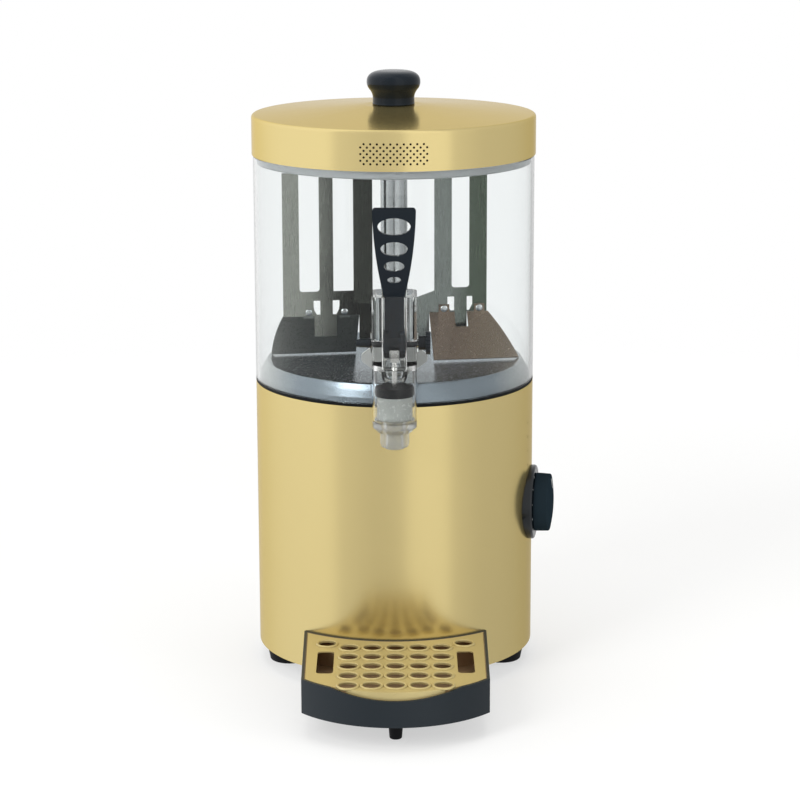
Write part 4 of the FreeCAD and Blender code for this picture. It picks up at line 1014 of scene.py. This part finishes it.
@dataclass
class Studio:
    """Pale floor, soft light and the camera."""

    distance: float = 2.374
    height: float = 0.7981
    pitch: float = 13.045
    yaw: float = -0.123
    roll: float = -0.171
    lens: float = 116.1
    sensor: float = 36.0
    far_end: float = 50.0
    floor_size: float = 8.0
    floor_fade: Point = (0.55, 1.6)
    floor_glow: float = 0.55
    aim_height: float = 0.28
    soft: float = 0.62
    rise_from: Point = (-0.3, -0.08)
    rise_to: Point = (0.95, 1.18)
    lamps: tuple[Lamp, ...] = (Lamp("key", (-1.5, -1.7, 1.5), (1.0, 1.8), 34.0),
                               Lamp("fill", (1.9, -1.2, 1.0), (0.9, 1.4), 9.0),
                               Lamp("top", (0.0, 0.2, 2.4), (1.6, 1.6), 20.0))
    bands: tuple[Point, ...] = ((-180.0, 0.7), (-150.0, 0.9), (-100.0, 0.98), (-55.0, 1.0), (-44.0, 0.76),
                                (-12.0, 0.66), (4.0, 0.7), (14.0, 0.98), (43.0, 0.98), (50.0, 0.72),
                                (80.0, 0.62), (150.0, 0.56), (179.0, 0.7))

    def build(self) -> None:
        """Build the studio."""
        self.build_floor()
        self.build_world()
        for lamp in self.lamps:
            self.build_lamp(lamp)
        self.build_camera()

    def build_floor(self) -> None:
        """Lay a round pale floor that fades into the background."""
        shape = bmesh.new()
        bmesh.ops.create_circle(shape, cap_ends=True, radius=self.floor_size / 2, segments=96)
        mesh = bpy.data.meshes.new("floor")
        shape.to_mesh(mesh)
        shape.free()
        mesh.transform(Matrix.Translation(AXIS))
        floor = new_piece("floor", mesh)
        made = bpy.data.materials.new("pale_floor")
        made.use_nodes = True
        tree = made.node_tree
        tree.nodes.clear()
        place = add_node(tree, "ShaderNodeTexCoord")
        reach = add_node(tree, "ShaderNodeVectorMath", {0: place.outputs["Object"]}, operation="LENGTH")
        start, end = self.floor_fade
        fade = add_node(tree, "ShaderNodeMapRange", {"Value": reach.outputs["Value"], "From Min": start,
                                                     "From Max": end}, interpolation_type="SMOOTHSTEP")
        paint = add_node(tree, "ShaderNodeBsdfDiffuse", {"Color": linear("F4F4F2")})
        glow = add_node(tree, "ShaderNodeEmission", {"Color": linear("FFFFFF"), "Strength": 1.0})
        clear = add_node(tree, "ShaderNodeBsdfTransparent")
        seen = add_node(tree, "ShaderNodeLightPath")
        near = add_node(tree, "ShaderNodeMath", {0: seen.outputs["Is Camera Ray"], 1: self.floor_glow},
                        operation="MULTIPLY")
        mixed = add_node(tree, "ShaderNodeMixShader", {0: near.outputs[0], 1: paint.outputs[0],
                                                       2: glow.outputs[0]})
        hidden = add_node(tree, "ShaderNodeMath", {0: fade.outputs[0], 1: seen.outputs["Is Glossy Ray"]},
                          operation="MAXIMUM")
        ended = add_node(tree, "ShaderNodeMixShader", {0: hidden.outputs[0], 1: mixed.outputs[0],
                                                       2: clear.outputs[0]})
        add_node(tree, "ShaderNodeOutputMaterial", {0: ended.outputs[0]})
        floor.data.materials.append(made)

    def build_world(self) -> None:
        """White for the eye; bright and dim upright bands for gloss; an even soft light for the rest."""
        world = bpy.data.worlds.new("studio")
        bpy.context.scene.world = world
        world.use_nodes = True
        tree = world.node_tree
        tree.nodes.clear()
        seen = add_node(tree, "ShaderNodeLightPath")
        place = add_node(tree, "ShaderNodeTexCoord")
        parts = add_node(tree, "ShaderNodeSeparateXYZ", {0: place.outputs["Generated"]})
        back = add_node(tree, "ShaderNodeMath", {0: parts.outputs["Y"], 1: -1.0}, operation="MULTIPLY")
        angle = add_node(tree, "ShaderNodeMath", {0: parts.outputs["X"], 1: back.outputs[0]},
                         operation="ARCTAN2")
        share = add_node(tree, "ShaderNodeMapRange", {"Value": angle.outputs[0], "From Min": -math.pi,
                                                      "From Max": math.pi})
        ramp = add_node(tree, "ShaderNodeValToRGB", {"Fac": share.outputs[0]})
        bands = ramp.color_ramp
        bands.interpolation = "EASE"
        while len(bands.elements) > 1:
            bands.elements.remove(bands.elements[-1])
        for number, (turn, tone) in enumerate(self.bands):
            spot = bands.elements[0] if number == 0 else bands.elements.new(0.5 + turn / 360)
            spot.position = 0.5 + turn / 360
            spot.color = (tone, tone, tone, 1.0)
        rise = add_node(tree, "ShaderNodeMapRange", {"Value": parts.outputs["Z"],
                                                     "From Min": self.rise_from[0],
                                                     "From Max": self.rise_from[1],
                                                     "To Min": self.rise_to[0], "To Max": self.rise_to[1]})
        glossy = add_node(tree, "ShaderNodeBackground", {"Color": ramp.outputs[0],
                                                         "Strength": rise.outputs[0]})
        soft = add_node(tree, "ShaderNodeBackground", {"Color": linear("FFFFFF"), "Strength": self.soft})
        white = add_node(tree, "ShaderNodeBackground", {"Color": linear("FFFFFF"), "Strength": 1.0})
        bounced = add_node(tree, "ShaderNodeMath", {0: seen.outputs["Glossy Depth"], 1: 0.5},
                           operation="GREATER_THAN")
        spread = add_node(tree, "ShaderNodeMath", {0: seen.outputs["Diffuse Depth"], 1: 0.5},
                          operation="GREATER_THAN")
        first = add_node(tree, "ShaderNodeMixShader", {0: bounced.outputs[0], 1: white.outputs[0],
                                                       2: glossy.outputs[0]})
        second = add_node(tree, "ShaderNodeMixShader", {0: spread.outputs[0], 1: first.outputs[0],
                                                        2: soft.outputs[0]})
        add_node(tree, "ShaderNodeOutputWorld", {0: second.outputs[0]})

    def build_lamp(self, lamp: Lamp) -> None:
        """Hang a lamp so that it faces the machine and isn't seen in gloss.

        Args:
            lamp: The lamp.
        """
        data = bpy.data.lights.new(lamp.name, "AREA")
        data.shape = "RECTANGLE"
        data.size, data.size_y = lamp.size
        data.energy = lamp.power
        hung = bpy.data.objects.new(lamp.name, data)
        hung.location = AXIS + Vector(lamp.spot)
        aim = AXIS + Vector((0, 0, self.aim_height)) - hung.location
        hung.rotation_euler = aim.to_track_quat("-Z", "Y").to_euler()
        hung.visible_glossy = False
        bpy.context.scene.collection.objects.link(hung)

    def build_camera(self) -> None:
        """Set the camera at the viewing angle."""
        data = bpy.data.cameras.new("view")
        data.lens = self.lens
        data.sensor_width = self.sensor
        data.clip_end = self.far_end
        camera = bpy.data.objects.new("view", data)
        camera.location = AXIS + Vector((0.0, -self.distance, self.height))
        turn = (Matrix.Rotation(math.radians(self.yaw), 4, "Z")
                @ Matrix.Rotation(math.radians(90 - self.pitch), 4, "X")
                @ Matrix.Rotation(math.radians(self.roll), 4, "Z"))
        camera.rotation_euler = turn.to_euler()
        bpy.context.scene.collection.objects.link(camera)
        bpy.context.scene.camera = camera


def main() -> None:
    """Build every sub-assembly in order."""
    logging.basicConfig(level=logging.INFO, format="%(name)s: %(message)s")
    bpy.context.scene.view_settings.view_transform = "Standard"
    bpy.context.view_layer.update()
    Studio().build()
    for part in (HeatedBase(), SideDial(), DrinkTank(), LeverTap(), Agitator(), VentedLid(), DripTray()):
        LOG.info("building %s", type(part).__name__)
        part.build()


if __name__ == "__main__":
    main()
